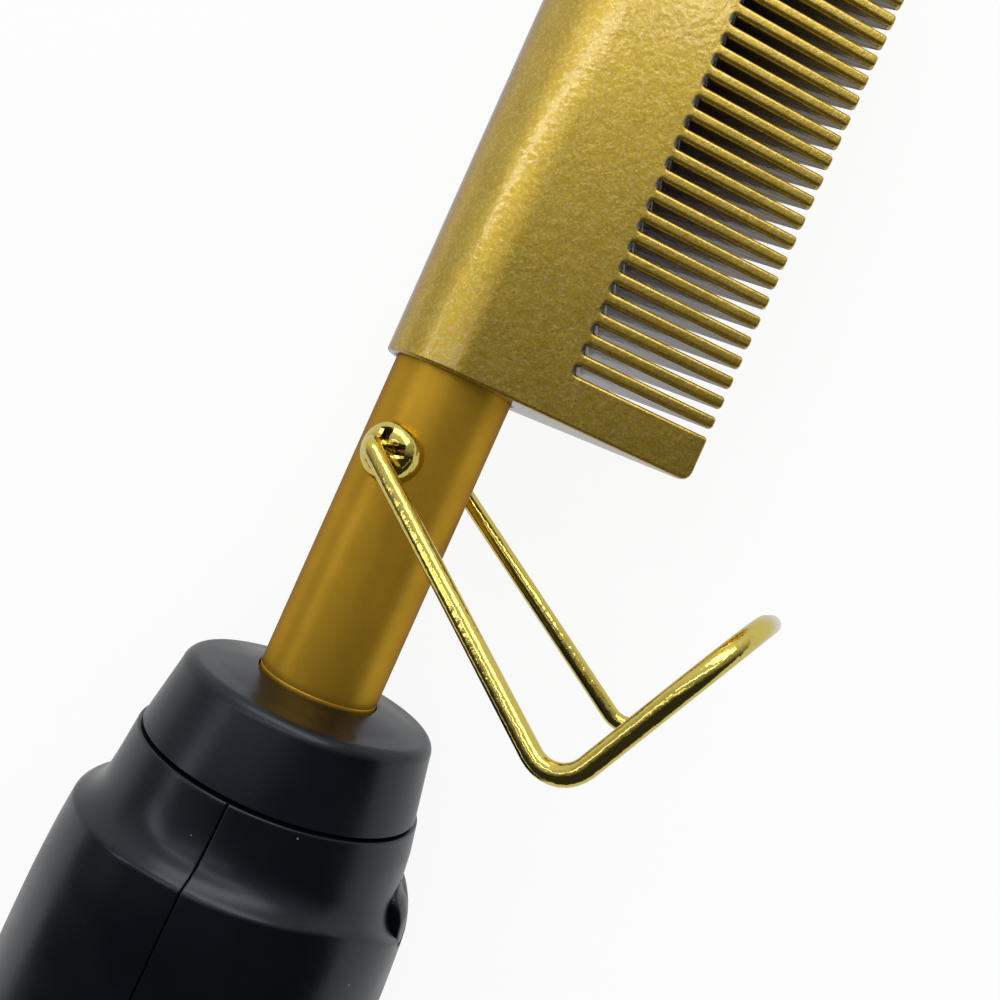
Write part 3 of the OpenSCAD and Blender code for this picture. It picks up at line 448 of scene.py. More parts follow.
def moulded_plastic(name, rgb, rough, grain_mm=0.35, dusty=True):
    """Injection-moulded plastic: a fine spark-eroded grain under a soft and slightly cool gloss,
    wear in clouds 9 mm across, and a few pale specks of dust, in cells 4 mm across."""
    material, tree, shader, place = start_material(name)
    wear = node(tree, "TexNoise", {"Vector": place, "Scale": per(9)})["Fac"]
    worn = node(tree, "MapRange", {"Value": wear, "From Min": 0.3, "From Max": 0.7})["Result"]
    base = node(tree, "Mix", {0: worn, 6: rgb, 7: tinted(rgb, 1.25)}, data_type="RGBA")[2]
    if dusty:
        cells = node(tree, "TexVoronoi", {"Vector": place, "Scale": per(4)})["Distance"]
        speck = node(tree, "MapRange", {"Value": cells, "From Min": 0.02, "From Max": 0.035,
                                        "To Min": 0.8, "To Max": 0})["Result"]
        base = node(tree, "Mix", {0: speck, 6: base, 7: linear(DUST)}, data_type="RGBA")[2]
    roughness = node(tree, "MapRange", {"Value": wear, **MIDDLE, "To Min": rough - 0.08,
                                        "To Max": rough})["Result"]
    grains = node(tree, "TexNoise", {"Vector": place, "Scale": per(grain_mm)})["Fac"]
    normal = node(tree, "Bump", {"Height": grains, "Distance": 0.010 * MM, "Strength": 0.6})
    fill(tree, shader, base, roughness, normal["Normal"])
    tint_gloss(shader, PLASTIC_GLOSS)
    return material


def plain_finish(name, hex_colour, metallic, rough, grain_mm, depth_mm, spread=0.12):
    """A finish with one grain: its colour and roughness drift with the grain, which is also cut
    into the surface."""
    material, tree, shader, place = start_material(name)
    rgb = linear(hex_colour)
    grains = node(tree, "TexNoise", {"Vector": place, "Scale": per(grain_mm)})["Fac"]
    drift = node(tree, "MapRange", {"Value": grains, **MIDDLE})["Result"]
    base = node(tree, "Mix", {0: drift, 6: tinted(rgb, 1 - spread), 7: tinted(rgb, 1 + spread)},
                data_type="RGBA")[2]
    roughness = node(tree, "MapRange", {"Value": grains, **MIDDLE, "To Min": rough * 0.85,
                                        "To Max": rough * 1.15})["Result"]
    normal = node(tree, "Bump", {"Height": grains, "Distance": depth_mm * MM, "Strength": 0.5})
    fill(tree, shader, base, roughness, normal["Normal"], metallic)
    return material


# Finish, then the inner parts that have it, and its colour, metallic, roughness, and the width and
# depth of its grain in millimetres
INNER_FINISHES = {
    "Black oxide steel": ("head_set_screw", "#2C2C2E", 0.9, 0.4, 0.4, 0.01),
    "Sintered alumina": ("heater_bar ceramic_bush", "#E6E1D3", 0.0, 0.7, 0.3, 0.01),
    "Extruded aluminium": ("spreader_upper spreader_lower", "#B9BBBD", 1.0, 0.35, 0.5, 0.01),
    "Glass bead": ("temperature_sensor", "#B8693A", 0.0, 0.15, 0.8, 0.01),
    "Zinc plated steel": ("thermal_fuse barrel_flange flange_screws pivot_nuts board_screws",
                          "#B4B6BA", 1.0, 0.3, 0.6, 0.01),
    "Zinc plated steel, dulled": ("handle_screws", "#85888C", 1.0, 0.38, 0.4, 0.01),
    "Silicone sleeve": ("heater_leads supply_leads", "#E2DDCC", 0.0, 0.55, 0.6, 0.02),
    "Silicone sleeve, yellow": ("sensor_leads", "#D9B44A", 0.0, 0.5, 0.6, 0.02),
    "Pressed phenolic": ("insulating_disc brush_holder", "#5E3A20", 0.0, 0.5, 0.8, 0.03),
    "Solder mask on laminate": ("circuit_board", "#1F5B35", 0.0, 0.35, 1.2, 0.02),
    "Moulded epoxy": ("triac control_chip tact_switch", "#1B1B1D", 0.0, 0.55, 0.3, 0.02),
    "Dipped resin, amber": ("film_capacitor", "#B37A22", 0.0, 0.2, 1.5, 0.05),
    "Shrink sleeve, blue": ("smoothing_capacitor", "#1C2E5E", 0.0, 0.3, 1.5, 0.03),
    "Moulded nylon, white": ("switch_plunger", "#D6D6D2", 0.0, 0.45, 0.5, 0.01),
    "Clear epoxy lens": ("indicator_led", "#E8E4DC", 0.0, 0.1, 1.0, 0.01),
    "Pressed carbon": ("contact_brushes", "#2A2A2D", 0.2, 0.6, 0.2, 0.02),
    "Turned brass": ("contact_rings", "#B98A48", 1.0, 0.28, 0.3, 0.01),
}


# ---------------------------------------------------------------- the comb head

class CombOutline:
    """Cross-section of the comb: a round spine with two flanks that touch it and run to the tips.
    Its points run from one flank at the slot roots over the spine to the other, then by the nose
    back to the first."""

    def __init__(self, sizes, reach):
        half_tip = sizes.tip_thickness / 2
        self.radius = sizes.spine_radius
        self.root = sizes.slot_root
        to_tip = math.hypot(reach, half_tip)
        self.lean = math.asin(self.radius / to_tip) - math.atan2(half_tip, reach)
        self.touch_y = -self.radius * math.sin(self.lean)
        self.touch_z = self.radius * math.cos(self.lean)
        self.start_y = -(self.root - 0.6 * MM)
        flank_y = np.linspace(self.start_y, self.touch_y, 5)[:-1]
        angle = np.linspace(self.lean, -math.pi - self.lean, 49)
        flank = np.stack([flank_y, self.half(flank_y)], -1)
        arc = self.radius * np.stack([-np.sin(angle), np.cos(angle)], -1)
        self.upper = np.concatenate([flank, arc, flank[::-1] * (1, -1)])
        lean = np.full(len(flank_y), self.lean)
        over = np.concatenate([lean, angle, -math.pi - lean])
        self.upper_out = np.stack([-np.sin(over), np.cos(over)], -1)

    def half(self, y):
        """Half thickness of the wedge at y."""
        return self.touch_z - (self.touch_y - y) * math.tan(self.lean)

    def nose(self, reach, radius, shares):
        """Half outline from the flank to the middle of the nose with its outward normals; shares
        are the numbers of points on the flank near the slot roots and below them, on the rounded
        corner and on the flat."""
        near_root, below_root, on_arc, on_flat = shares
        centre_y = -reach + radius
        centre_z = self.half(centre_y) - radius / math.cos(self.lean)
        end_y = centre_y - radius * math.sin(self.lean)
        near = np.linspace(self.start_y, -self.root - 0.4 * MM, near_root + 1)
        below = np.linspace(near[-1], end_y, below_root + 1)
        flank_y = np.concatenate([near[1:], below[1:]])
        turn = np.linspace(self.lean, math.pi / 2, on_arc + 1)[1:]
        flat_z = np.linspace(centre_z, 0, on_flat + 1)[1:]
        y = np.concatenate([flank_y, centre_y - radius * np.sin(turn), np.full(on_flat, -reach)])
        z = np.concatenate([self.half(flank_y), centre_z + radius * np.cos(turn), flat_z])
        out = np.concatenate([np.full(len(flank_y), self.lean), turn,
                              np.full(on_flat, math.pi / 2)])
        return np.stack([y, z], -1), np.stack([-np.sin(out), np.cos(out)], -1)

    def ring(self, x, reach, radius, shares, inset=0.0, teeth_only=True):
        """The outline at x with its nose at the given reach. It is drawn in by inset, either all
        round or below the roots of the slots alone, where the inset fades in over 0.6 mm."""
        low, low_out = self.nose(reach, radius, shares)
        mirror = (1, -1)
        points = np.concatenate([self.upper, low * mirror, low[::-1][1:]])
        out = np.concatenate([self.upper_out, low_out * mirror, low_out[::-1][1:]])
        below = np.clip((-points[:, 0] - self.root + 0.3 * MM) / (0.6 * MM), 0, 1)
        points = points - out * inset * (below[:, None] if teeth_only else 1)
        return stack(x, points[:, 0], points[:, 1])

    def in_slot(self, ring):
        """One for the points of a ring that lie in the slot, and nothing for the rest."""
        return (ring[:, 1] < 0.35 * MM - self.root).astype(float)


def comb_rings(sizes):
    """Rings of the comb head from end to end. A tooth's ring reaches the tips and a slot's ring
    the roots, and both stand at one x on a slot's wall, so that the strip between is the wall."""
    foot, tip, reach = HEAD_FOOT.x, HEAD_TIP.x, -HEAD_FOOT.y
    outline = CombOutline(sizes, reach)
    tooth, root = (8, 8, 4, 3), (0, 1, 4, 18)
    nose, fillet = 0.35 * MM, 0.3 * MM
    edge, end_edge, block = sizes.slot_edge, sizes.end_edge, sizes.block_corner
    quarter = np.radians([0, 22.5, 45, 67.5, 90])
    # How far a slot moves from the paint: painted over its edge, unpainted metal on its wall, and
    # painted shade, darker still, at its root
    shares = [0.0] * len(quarter) + [1.0] + [1.4] * len(quarter[::2])
    rings, bare_and_shade = [], []

    def end_ring(away, x):
        """Ring near an end face, which lies away from x: corner and edge are both rounded."""
        back = block - math.sqrt(max(0, block**2 - max(0, block - away) ** 2))
        drawn = end_edge - math.sqrt(max(0, end_edge**2 - max(0, end_edge - away) ** 2))
        return outline.ring(x, reach - back, nose, tooth, drawn, teeth_only=False)

    steps = sorted({*(end_edge * (1 - np.cos(quarter))), *(block * (1 - np.cos(quarter)))})
    rings += [end_ring(away, foot + away) for away in steps]
    for i in range(sizes.slot_count):
        start = foot + sizes.end_block + i * sizes.tooth_pitch
        for wall, side in ((start, 1), (start + sizes.slot_width, -1)):
            shape = [outline.ring(wall - side * edge * (1 - math.sin(a)), reach, nose, tooth,
                                  edge * (1 - math.cos(a))) for a in quarter]
            shape.append(outline.ring(wall, reach, nose, tooth, edge + 0.04 * MM))
            shape += [outline.ring(wall + side * fillet * (1 - math.cos(a)),
                                   outline.root + fillet * (1 - math.sin(a)), edge, root)
                      for a in quarter[::2]]
            rings += shape[::side]
            bare_and_shade += [outline.in_slot(ring) * share for ring, share in zip(shape, shares)][::side]
    painted = [np.zeros(len(rings[0]))] * len(steps)
    rings += [end_ring(away, tip - away) for away in reversed(steps)]
    return np.stack(rings), painted + bare_and_shade + painted


def comb_head(sizes):
    """The whole head as one surface: bore, socket, foot face, rings of the comb, tip face."""
    rings, bare_and_shade = comb_rings(sizes)
    foot, socket = HEAD_FOOT.x, HEAD_FOOT.x + sizes.socket_depth
    bore_end = socket + sizes.heater_length
    socket_r, mouth_r = 7.55 * MM, 7.95 * MM
    around = np.arctan2(rings[0][:, 2], rings[0][:, 1])
    inner = [(bore_end, 0), (bore_end, sizes.heater_radius), (socket, sizes.heater_radius),
             (socket, socket_r), (foot + 0.5 * MM, socket_r),
             (foot + 0.15 * MM, mouth_r - 0.1 * MM), (foot, mouth_r)]
    bore = [stack(x, r * np.cos(around), r * np.sin(around)) for x, r in inner]
    pole = stack(np.full(len(around), HEAD_TIP.x), 0, 0)
    inside = np.ones((len(bore), len(around)))
    bare_and_shade = np.concatenate([inside, bare_and_shade, np.zeros((1, len(around)))])
    return surface(np.stack(bore + list(rings) + [pole]), bare_and_shade=bare_and_shade)


# ---------------------------------------------------------------- barrel, pivot screws and stand

def barrel(sizes):
    """Drawn tube with a fine groove round its foot, just above the collar."""
    outer, inner = sizes.radius, sizes.radius - sizes.wall
    foot, end, groove = BARREL_FOOT.x, BARREL_END.x, COLLAR_TOP.x + 0.28 * MM
    deep, step = sizes.foot_groove, 0.07 * MM
    profile = [(foot, inner), (foot, outer), (groove - 2 * step, outer),
               (groove - step, outer - deep / 2), (groove, outer - deep),
               (groove + step, outer - deep / 2), (groove + 2 * step, outer),
               *[(x, outer) for x in np.linspace(groove + 1 * MM, end - 1 * MM, 12)],
               (end, outer), (end, inner), (foot, inner)]
    return surface(turned(profile))


def pivot_axes():
    """The stand's frame: its pivot, its three axes with the pivot's direction last, as columns."""
    across = np.array(STAND_JOINT["axis"])
    along = np.array([1.0, 0, 0])
    return np.array(STAND_JOINT["pos_m"]), np.stack([along, np.cross(across, along), across], -1)


def round_grid(lines, radius):
    """Points of a square grid laid over a disc: each line is bent so that the border is round."""
    u, v = np.meshgrid(lines, lines, indexing="ij")
    return radius * u * np.sqrt(1 - v**2 / 2), radius * v * np.sqrt(1 - u**2 / 2)


def border(grid):
    """The points round the edge of a grid, in order."""
    return np.concatenate([grid[:-1, 0], grid[-1, :-1], grid[:0:-1, -1], grid[0, :0:-1]])


def pivot_screw(sizes, side):
    """Pan head. Its height over the disc is a quarter superellipse of exponent 2.5, and the cross
    recess is pressed into it; the outer part of the head is rings of the same superellipse, down
    to its seat."""
    radius, top, seat = sizes.screw_radius, sizes.radius + 2.9 * MM, 6.4 * MM
    tall, power, inner = sizes.screw_crown, 2.5, 0.86
    arm, reach = sizes.recess_arm / 2, sizes.recess_reach
    slope, end = 0.08 * MM, 0.1 * MM
    half_lines = np.array([0, arm - slope, arm, arm + slope, 0.26 * radius, 0.34 * radius,
                           0.42 * radius, 0.5 * radius, 0.58 * radius, reach - end, reach,
                           reach + end, 0.79 * radius, inner * radius]) / (inner * radius)
    lines = np.concatenate([-half_lines[:0:-1], half_lines])
    a, b = round_grid(lines, inner * radius)
    across, away = np.minimum(abs(a), abs(b)), np.maximum(abs(a), abs(b))
    pressed = np.clip((arm + slope - across) / (2 * slope), 0, 1)
    pressed = pressed * np.clip((reach + end - away) / (2 * end), 0, 1)

    def crown(off):
        """Height of the head at a distance from its middle."""
        return top - tall * (1 - (1 - np.clip(off / radius, 0, 1) ** power) ** (1 / power))

    floor = top - sizes.recess_depth * (1 - 0.3 * away / reach)
    height = crown(np.hypot(a, b))
    height = height + (floor - height) * pressed
    turn = sizes.recess_turn
    spin = np.array([[math.cos(turn), math.sin(turn)], [-math.sin(turn), math.cos(turn)]])
    disc = np.concatenate([np.stack([a, b], -1) @ spin, height[..., None]], -1)
    edge = border(disc)
    spread = edge[:, :2] / np.hypot(edge[:, 0], edge[:, 1])[:, None]
    offs = radius * (1 - (1 - inner) * np.cos(np.linspace(0, math.pi / 2, 9)) ** 1.6)
    rings = [(off, crown(off)) for off in offs] + [(radius, seat), (0, seat)]
    skirt = [np.column_stack([spread * off, np.full(len(edge), z)]) for off, z in rings]
    at, axes = pivot_axes()
    flip = np.array([1, 1, side])
    # The pressed recess is marked for the brown painted shade of the brass finish
    return [surface(disc * flip @ axes.T + at, wrap=False, bare_and_shade=pressed),
            surface(np.stack(skirt) * flip @ axes.T + at)]


def rounded_path(points, bends, steps=10):
    """Places and directions along straight runs joined by arcs of the given bend radii."""
    places, headings = [points[0]], [unit(points[1] - points[0])]
    for before, here, after, bend in zip(points, points[1:], points[2:], bends):
        d1, d2 = unit(here - before), unit(after - here)
        turn = math.acos(np.clip(d1 @ d2, -1, 1))
        inward = unit(d2 - d1 * (d1 @ d2))
        start = here - d1 * bend * math.tan(turn / 2)
        for a in np.linspace(0, turn, steps):
            places.append(start + d1 * bend * math.sin(a) + inward * bend * (1 - math.cos(a)))
            headings.append(d1 * math.cos(a) + inward * math.sin(a))
    return np.array(places + [points[-1]]), np.array(headings + [unit(points[-1] - points[-2])])


def unit(v):
    """A vector at length one."""
    return v / np.linalg.norm(v)


def wire_stand(sizes):
    """One bent wire: a circle carried along the path pin, leg, foot, cross bar, foot, leg, pin.
    Each circle stands square to the path, turned as little as possible from the last."""
    bar_along = sizes.leg + sizes.foot * math.cos(sizes.foot_angle)
    bar_out = sizes.foot * math.sin(sizes.foot_angle)
    half = [(0, 0, sizes.pin_start), (0, 0, sizes.pivot_half), (sizes.leg, 0, sizes.foot_half),
            (bar_along, bar_out, sizes.foot_half)]
    far = [(x - sizes.skew if x else 0, y, -z) for x, y, z in reversed(half)]
    path = np.array(half + far)
    turn = math.pi + sizes.leg_angle
    spin = np.array([[math.cos(turn), -math.sin(turn), 0], [math.sin(turn), math.cos(turn), 0],
                     [0, 0, 1]])
    at, axes = pivot_axes()
    path = path @ spin.T @ axes.T + at
    bends = [sizes.pivot_bend, sizes.foot_bend, sizes.bar_bend]
    places, headings = rounded_path(path, bends + bends[::-1])
    side = unit(np.cross(headings[0], [0, 1, 0]))
    sides = []
    for heading in headings:
        side = unit(side - heading * (side @ heading))
        sides.append(side)
    sides = np.array(sides)
    ups = np.cross(headings, sides)
    around = np.linspace(0, TURN, 32, endpoint=False)[:, None]

    def circle(r, k):
        """Circle of radius r square to the path at its place k."""
        return places[k] + r * (np.cos(around) * sides[k] + np.sin(around) * ups[k])

    rings = [circle(sizes.wire_radius, k) for k in range(len(places))]
    return surface(np.stack([circle(0, 0), *rings, circle(0, -1)]))


# ---------------------------------------------------------------- the collar and the handle

def collar(sizes):
    """Moulded ring: a domed top round the barrel, a rounded edge, a side that widens to the seam,
    and a stack bore below the top plate."""
    top, foot = COLLAR_TOP.x, COLLAR_FOOT.x
    rim = top - sizes.collar_dome
    hole, edge, seam = 7.62 * MM, sizes.collar_edge, sizes.seam_edge
    bore, plate = 13.4 * MM, 2.2 * MM
    arc = corner(rim - edge, sizes.collar_top - edge, edge, 12, 90, 9)
    profile = [(top - 0.25 * MM, hole), (top - 0.05 * MM, hole + 0.08 * MM), (top, hole + 0.3 * MM),
               *[(top - sizes.collar_dome * (0.9 * t + 0.1 * t**2), hole + 0.3 * MM + t * 5.6 * MM)
                 for t in np.linspace(0.1, 0.9, 7)],
               *arc, *corner(foot + seam, sizes.collar_foot - seam, seam, 90, 180),
               (foot, bore), (rim - plate, bore), (rim - plate, hole), (top - 0.25 * MM, hole)]
    return surface(turned(profile, 192))


# Distance below the collar's rim, and radius of the handle's belly there, in millimetres
BELLY = [(9.6, 20.2), (19.1, 21.15), (24.4, 21.66), (32, 22.03), (42, 22.15), (98, 17.6),
         (117, 15.2)]


def handle_radius(sizes, x, angle):
    """Outer radius of the handle at x and at an angle from +Z towards the teeth. The neck widens
    evenly and then flares as an exponential towards the shoulder's ridge. The belly lies below it,
    and the handle is the smaller of the two, softened where they cross. The ridge dips at the
    back and round the button, and the handle bulges a little on the side of the teeth."""
    below = (COLLAR_TOP.x - sizes.collar_dome - x) / MM
    toward_teeth = np.sin(angle)
    from_button = np.degrees(np.arccos(np.clip(toward_teeth, -1, 1)))
    in_front = np.clip(np.cos(angle - math.radians(20)), 0, 1)
    ridge = (sizes.ridge_drop + sizes.ridge_back * np.clip(-toward_teeth, 0, 1) ** 2
             + sizes.ridge_dip * np.exp(-(from_button / 25) ** 2)) / MM
    rise = sizes.ridge_rise / MM * (0.7 + 0.3 * in_front)
    neck_start, neck_slope, shoulder = 9.7, 0.11, 21.05
    neck = sizes.neck_radius / MM + neck_slope * (np.minimum(below, 25) - neck_start)
    at_ridge = sizes.neck_radius / MM + neck_slope * (ridge - neck_start)
    flare = (shoulder - at_ridge) * np.exp(np.clip((below - ridge) / rise, -30, 4))
    belly = smooth_curve(BELLY, below)
    soft = 0.10 + 0.20 * (1 - in_front)
    radius = -soft * np.logaddexp(-(neck + flare) / soft, -belly / soft)
    bulge = sizes.teeth_bulge / MM * np.clip(toward_teeth, 0, 1) ** 2
    fade = np.clip((below - 10) / 3, 0, 1) * np.clip((90 - below) / 50, 0, 1)
    return (radius + bulge * fade) * MM


def on_handle(x, r, angle):
    """Point at radius r and an angle from +Z towards the teeth."""
    return stack(x, -r * np.sin(angle), r * np.cos(angle))


# Where the halves end below the collar, the rounding of the tail, and the angles of the points on
# a rounded edge
SEAM = COLLAR_FOOT.x - 0.25 * MM
TAIL_EDGE = 5 * MM
LIP = np.radians([0, 30, 60, 90])


def handle_stations(sizes, breaks):
    """The x of the rows between the tail's rounding and the seam's edge: coarse up to 15 mm below
    the seam and fine from there. Every break is one of them."""
    start, fine, end = HANDLE_TAIL.x + TAIL_EDGE + 0.1 * MM, SEAM - 15 * MM, SEAM - sizes.seam_edge
    coarse = ticks([start, *(x for x in breaks if x < fine), fine], 3.2 * MM)
    near_seam = ticks([fine, *(x for x in breaks if x > fine), end], 0.3 * MM)
    return np.concatenate([coarse, near_seam[1:]])


def row_loop(sizes, first_angle, middle):
    """Points of one row of a half, from one parting edge round the outside to the other and back
    round the inside: each one's angle, how far it is moved aside from there, and its depth in the
    wall, from 0 outside to 1 inside. The parting edges are rounded by quarter circles."""
    gap, soft = sizes.seam_gap / 2, sizes.seam_edge
    start, end = math.radians(first_angle), math.radians(first_angle + 180)
    lips = [(gap + soft * (1 - math.cos(a)), soft / sizes.wall * (1 - math.sin(a))) for a in LIP]
    base = np.concatenate([[start] * len(LIP), middle, [end] * len(LIP)])
    shift = np.array([o for o, _ in lips] + [0] * len(middle) + [-o for o, _ in reversed(lips)])
    depth = np.array([d for _, d in lips] + [0] * len(middle) + [d for _, d in reversed(lips)])
    return (np.concatenate([base, base[::-1]]), np.concatenate([shift, shift[::-1]]),
            np.concatenate([depth, np.ones(len(base))]))


def wall_rows(sizes, xs, base):
    """Rows of the wall, each as x and radius outside and x and radius inside, and the number of
    rows before xs begins: the tail's face, its rounding, the side at xs, and the rounded edge at
    the seam. Outside and inside meet in the first and the last row, which closes the wall."""
    tail, wall, soft = HANDLE_TAIL.x, sizes.wall, sizes.seam_edge
    inner_edge = TAIL_EDGE - 0.6 * wall
    outer_r = handle_radius(sizes, xs[:, None], base[None, :])
    tail_r, seam_r = outer_r[0], outer_r[-1]
    mouth = np.full(len(base), sizes.tail_hole)
    rows = [(tail, mouth, tail + sizes.tail_wall, mouth)]
    rows += [(tail + TAIL_EDGE * (1 - math.sin(b)), tail_r - TAIL_EDGE * (1 - math.cos(b)),
              tail + sizes.tail_wall + inner_edge * (1 - math.sin(b)),
              tail_r - wall - inner_edge * (1 - math.cos(b)))
             for b in np.radians(np.linspace(0, 90, 8))[-2::-1]]
    before = 1 + len(rows)
    rows += [(x, r, x, r - wall) for x, r in zip(xs, outer_r)]
    rows += [(SEAM - soft + soft * math.sin(b), seam_r - soft * (1 - math.cos(b)),
              SEAM, seam_r - wall) for b in LIP[1:]]
    return [rows[0][2:] * 2, *rows, rows[-1][2:] * 2], before


def handle_half(sizes, first_angle, holes):
    """One half of the handle as a closed wall: a grid of rows, each a loop of points. A hole is
    left out of the grid as a window, outside and inside, and its patch fills both windows with
    its own rings."""
    xs = handle_stations(sizes, [x for hole in holes for x in hole["x_window"]])
    turns = [a for hole in holes for a in hole["window"]]
    middle = np.radians(ticks([first_angle + 4, *turns, first_angle + 176], 3.0))
    base, shift, depth = row_loop(sizes, first_angle, middle)
    rows, before = wall_rows(sizes, xs, base)
    grid = []
    for x_out, r_out, x_in, r_in in rows:
        x = x_out + (x_in - x_out) * depth
        r = r_out + (r_in - r_out) * depth
        grid.append(on_handle(x, r, base + np.arcsin(shift / r)))

    keep = np.ones((len(grid) - 1, len(base)), bool)
    outside, inside = len(LIP), len(base) // 2 + len(LIP)
    last = len(middle) - 1
    patches = []
    for hole in holes:
        r0, r1 = (np.argmin(abs(xs - x)) for x in hole["x_window"])
        c0, c1 = (np.argmin(abs(middle - math.radians(a))) for a in hole["window"])
        keep[before + r0:before + r1, outside + c0:outside + c1] = False
        keep[before + r0:before + r1, inside + last - c1:inside + last - c0] = False
        patches += hole["patch"](sizes, xs[r0:r1 + 1], middle[c0:c1 + 1], sizes.wall)
    return [surface(np.stack(grid), keep=keep), *patches]


def window_border(x_run, a_run):
    """The (x, angle) points round a window in the handle's grid, in order."""
    return border(np.stack(np.meshgrid(x_run, a_run, indexing="ij"), -1))


def at_height(sizes, x, z, back, inner):
    """Angle and radius of the handle's surface at x and z, found by repeated substitution."""
    r = np.full_like(x, 21 * MM)
    for _ in range(16):
        angle = np.arccos(np.clip(z / r, -1, 1))
        angle = TURN - angle if back else angle
        r = handle_radius(sizes, x, angle) - inner
    return angle, r


def to_outline(sizes, window, outline, back, inner, steps):
    """Rings from a window's border to an outline given by x and z, over the handle's surface."""
    angle, _ = at_height(sizes, outline[:, 0], outline[:, 1], back, inner)
    target = np.stack([outline[:, 0], angle], -1)
    blend = np.linspace(0, 1, steps)[:, None, None]
    mixed_points = window * (1 - blend) + target * blend
    r = handle_radius(sizes, mixed_points[..., 0], mixed_points[..., 1]) - inner
    return on_handle(mixed_points[..., 0], r, mixed_points[..., 1])


def steepened(wave):
    """A wave six times as steep and cut off at one. It moves the two halves of a circle apart, with
    a straight run between them."""
    return np.clip(wave * 6, -1, 1)


def oval(window, centre_x, centre_z, half_x, half_z, sign):
    """Points of an oval with straight sides and round ends, one on the ray from its middle to
    each point of a window's border."""
    span = np.ptp(window, axis=0) / 2
    middle = window.min(0) + span
    ray = np.arctan2((window[:, 1] - middle[1]) / span[1], (window[:, 0] - middle[0]) / span[0])
    radius = min(half_x, half_z)
    x = centre_x + np.cos(ray) * radius + steepened(np.cos(ray)) * (half_x - radius)
    z = centre_z + sign * (np.sin(ray) * radius + steepened(np.sin(ray)) * (half_z - radius))
    return np.stack([x, z], -1)


def button_hole(sizes, x_run, a_run, wall):
    """Skin from its window in to the button's hole, with a rounded lip, the hole's straight wall
    and the inner skin out to its own window."""
    button = bpy.context.scene.button_sizes
    window = window_border(x_run, a_run)
    centre = (BUTTON_LOW.x + BUTTON_HIGH.x) / 2
    soft = 0.2 * MM

    def outline(extra):
        """The button's outline, widened all round."""
        return oval(window, centre, 0, button.length / 2 + extra, button.width / 2 + extra, -1)

    skin = to_outline(sizes, window, outline(button.gap + soft), False, 0, 9)
    inside = to_outline(sizes, window, outline(button.gap), False, wall, 5)
    lip = []
    for t in np.radians([25, 50, 75, 90]):
        ring = outline(button.gap + soft * (1 - math.sin(t)))
        angle, r = at_height(sizes, ring[:, 0], ring[:, 1], False, 0)
        y = -r * np.sin(angle) + soft * (1 - math.cos(t))
        lip.append(stack(ring[:, 0], y, ring[:, 1]))
    return [surface(np.concatenate([skin, np.stack(lip), inside[::-1]]))]


def screw_well(centre_x, centre_z):
    """Makes the patch of one handle screw: a well down to the screw's seat, and inside a boss
    round it that runs to the parting plane."""

    def patch(sizes, x_run, a_run, wall):
        """Surfaces that fill the window of one screw."""
        window = window_border(x_run, a_run)
        soft, hole, boss = 0.35 * MM, sizes.screw_hole, sizes.screw_boss

        def circle(radius):
            """Circle round the screw's axis."""
            return oval(window, centre_x, centre_z, radius, radius, 1)

        skin = to_outline(sizes, window, circle(hole + soft), True, 0, 8)
        well = []
        for t in np.radians([25, 50, 75, 90]):
            ring = circle(hole + soft * (1 - math.sin(t)))
            angle, r = at_height(sizes, ring[:, 0], ring[:, 1], True, 0)
            y = -r * np.sin(angle) - soft * (1 - math.cos(t))
            well.append(stack(ring[:, 0], y, ring[:, 1]))
        ring = circle(hole)
        well.append(stack(ring[:, 0], sizes.screw_seat, ring[:, 1]))
        well.append(stack(np.full(len(ring), centre_x), sizes.screw_seat, centre_z))
        inside = to_outline(sizes, window, circle(boss), True, wall, 5)
        ring = circle(boss)
        plane = sizes.seam_gap / 2
        boss_end = [stack(ring[:, 0], plane, ring[:, 1]),
                    stack(np.full(len(ring), centre_x), plane, centre_z)]
        return [surface(np.concatenate([skin, np.stack(well)])),
                surface(np.concatenate([inside, np.stack(boss_end)]))]

    return patch


def handle_front(sizes):
    """The half on the side of the teeth, with the button's hole."""
    centre, room = (BUTTON_LOW.x + BUTTON_HIGH.x) / 2, 6.3 * MM
    button = {"x_window": (centre - room, centre + room), "window": (75, 105),
              "patch": button_hole}
    return handle_half(sizes, 0, [button])


def handle_back(sizes):
    """The half on the side of the spine, with the wells of the three handle screws."""
    head = 2.7 * MM
    upper, lower = SCREWS_HIGH.x - head, SCREWS_LOW.x + head
    side = SCREWS_HIGH.z - head
    room = 6.4 * MM
    holes = [
        {"x_window": (upper - room, upper + room), "window": (202, 250),
         "patch": screw_well(upper, -side)},
        {"x_window": (upper - room, upper + room), "window": (290, 338),
         "patch": screw_well(upper, side)},
        {"x_window": (lower - room, lower + room), "window": (248, 292),
         "patch": screw_well(lower, 0)},
    ]
    return handle_half(sizes, 180, holes)


# ---------------------------------------------------------------- button, indicator and cord outlet

# Distance below the collar's rim, and distance of the button's face from the axis, in millimetres
BUTTON_FACE = [(15.9, 18.6), (16.4, 18.9), (17.4, 19.6), (18.05, 20.3), (18.8, 20.85),
               (19.6, 21.25), (20.55, 21.45), (21.5, 21.6), (22.5, 21.68), (23.2, 21.7)]


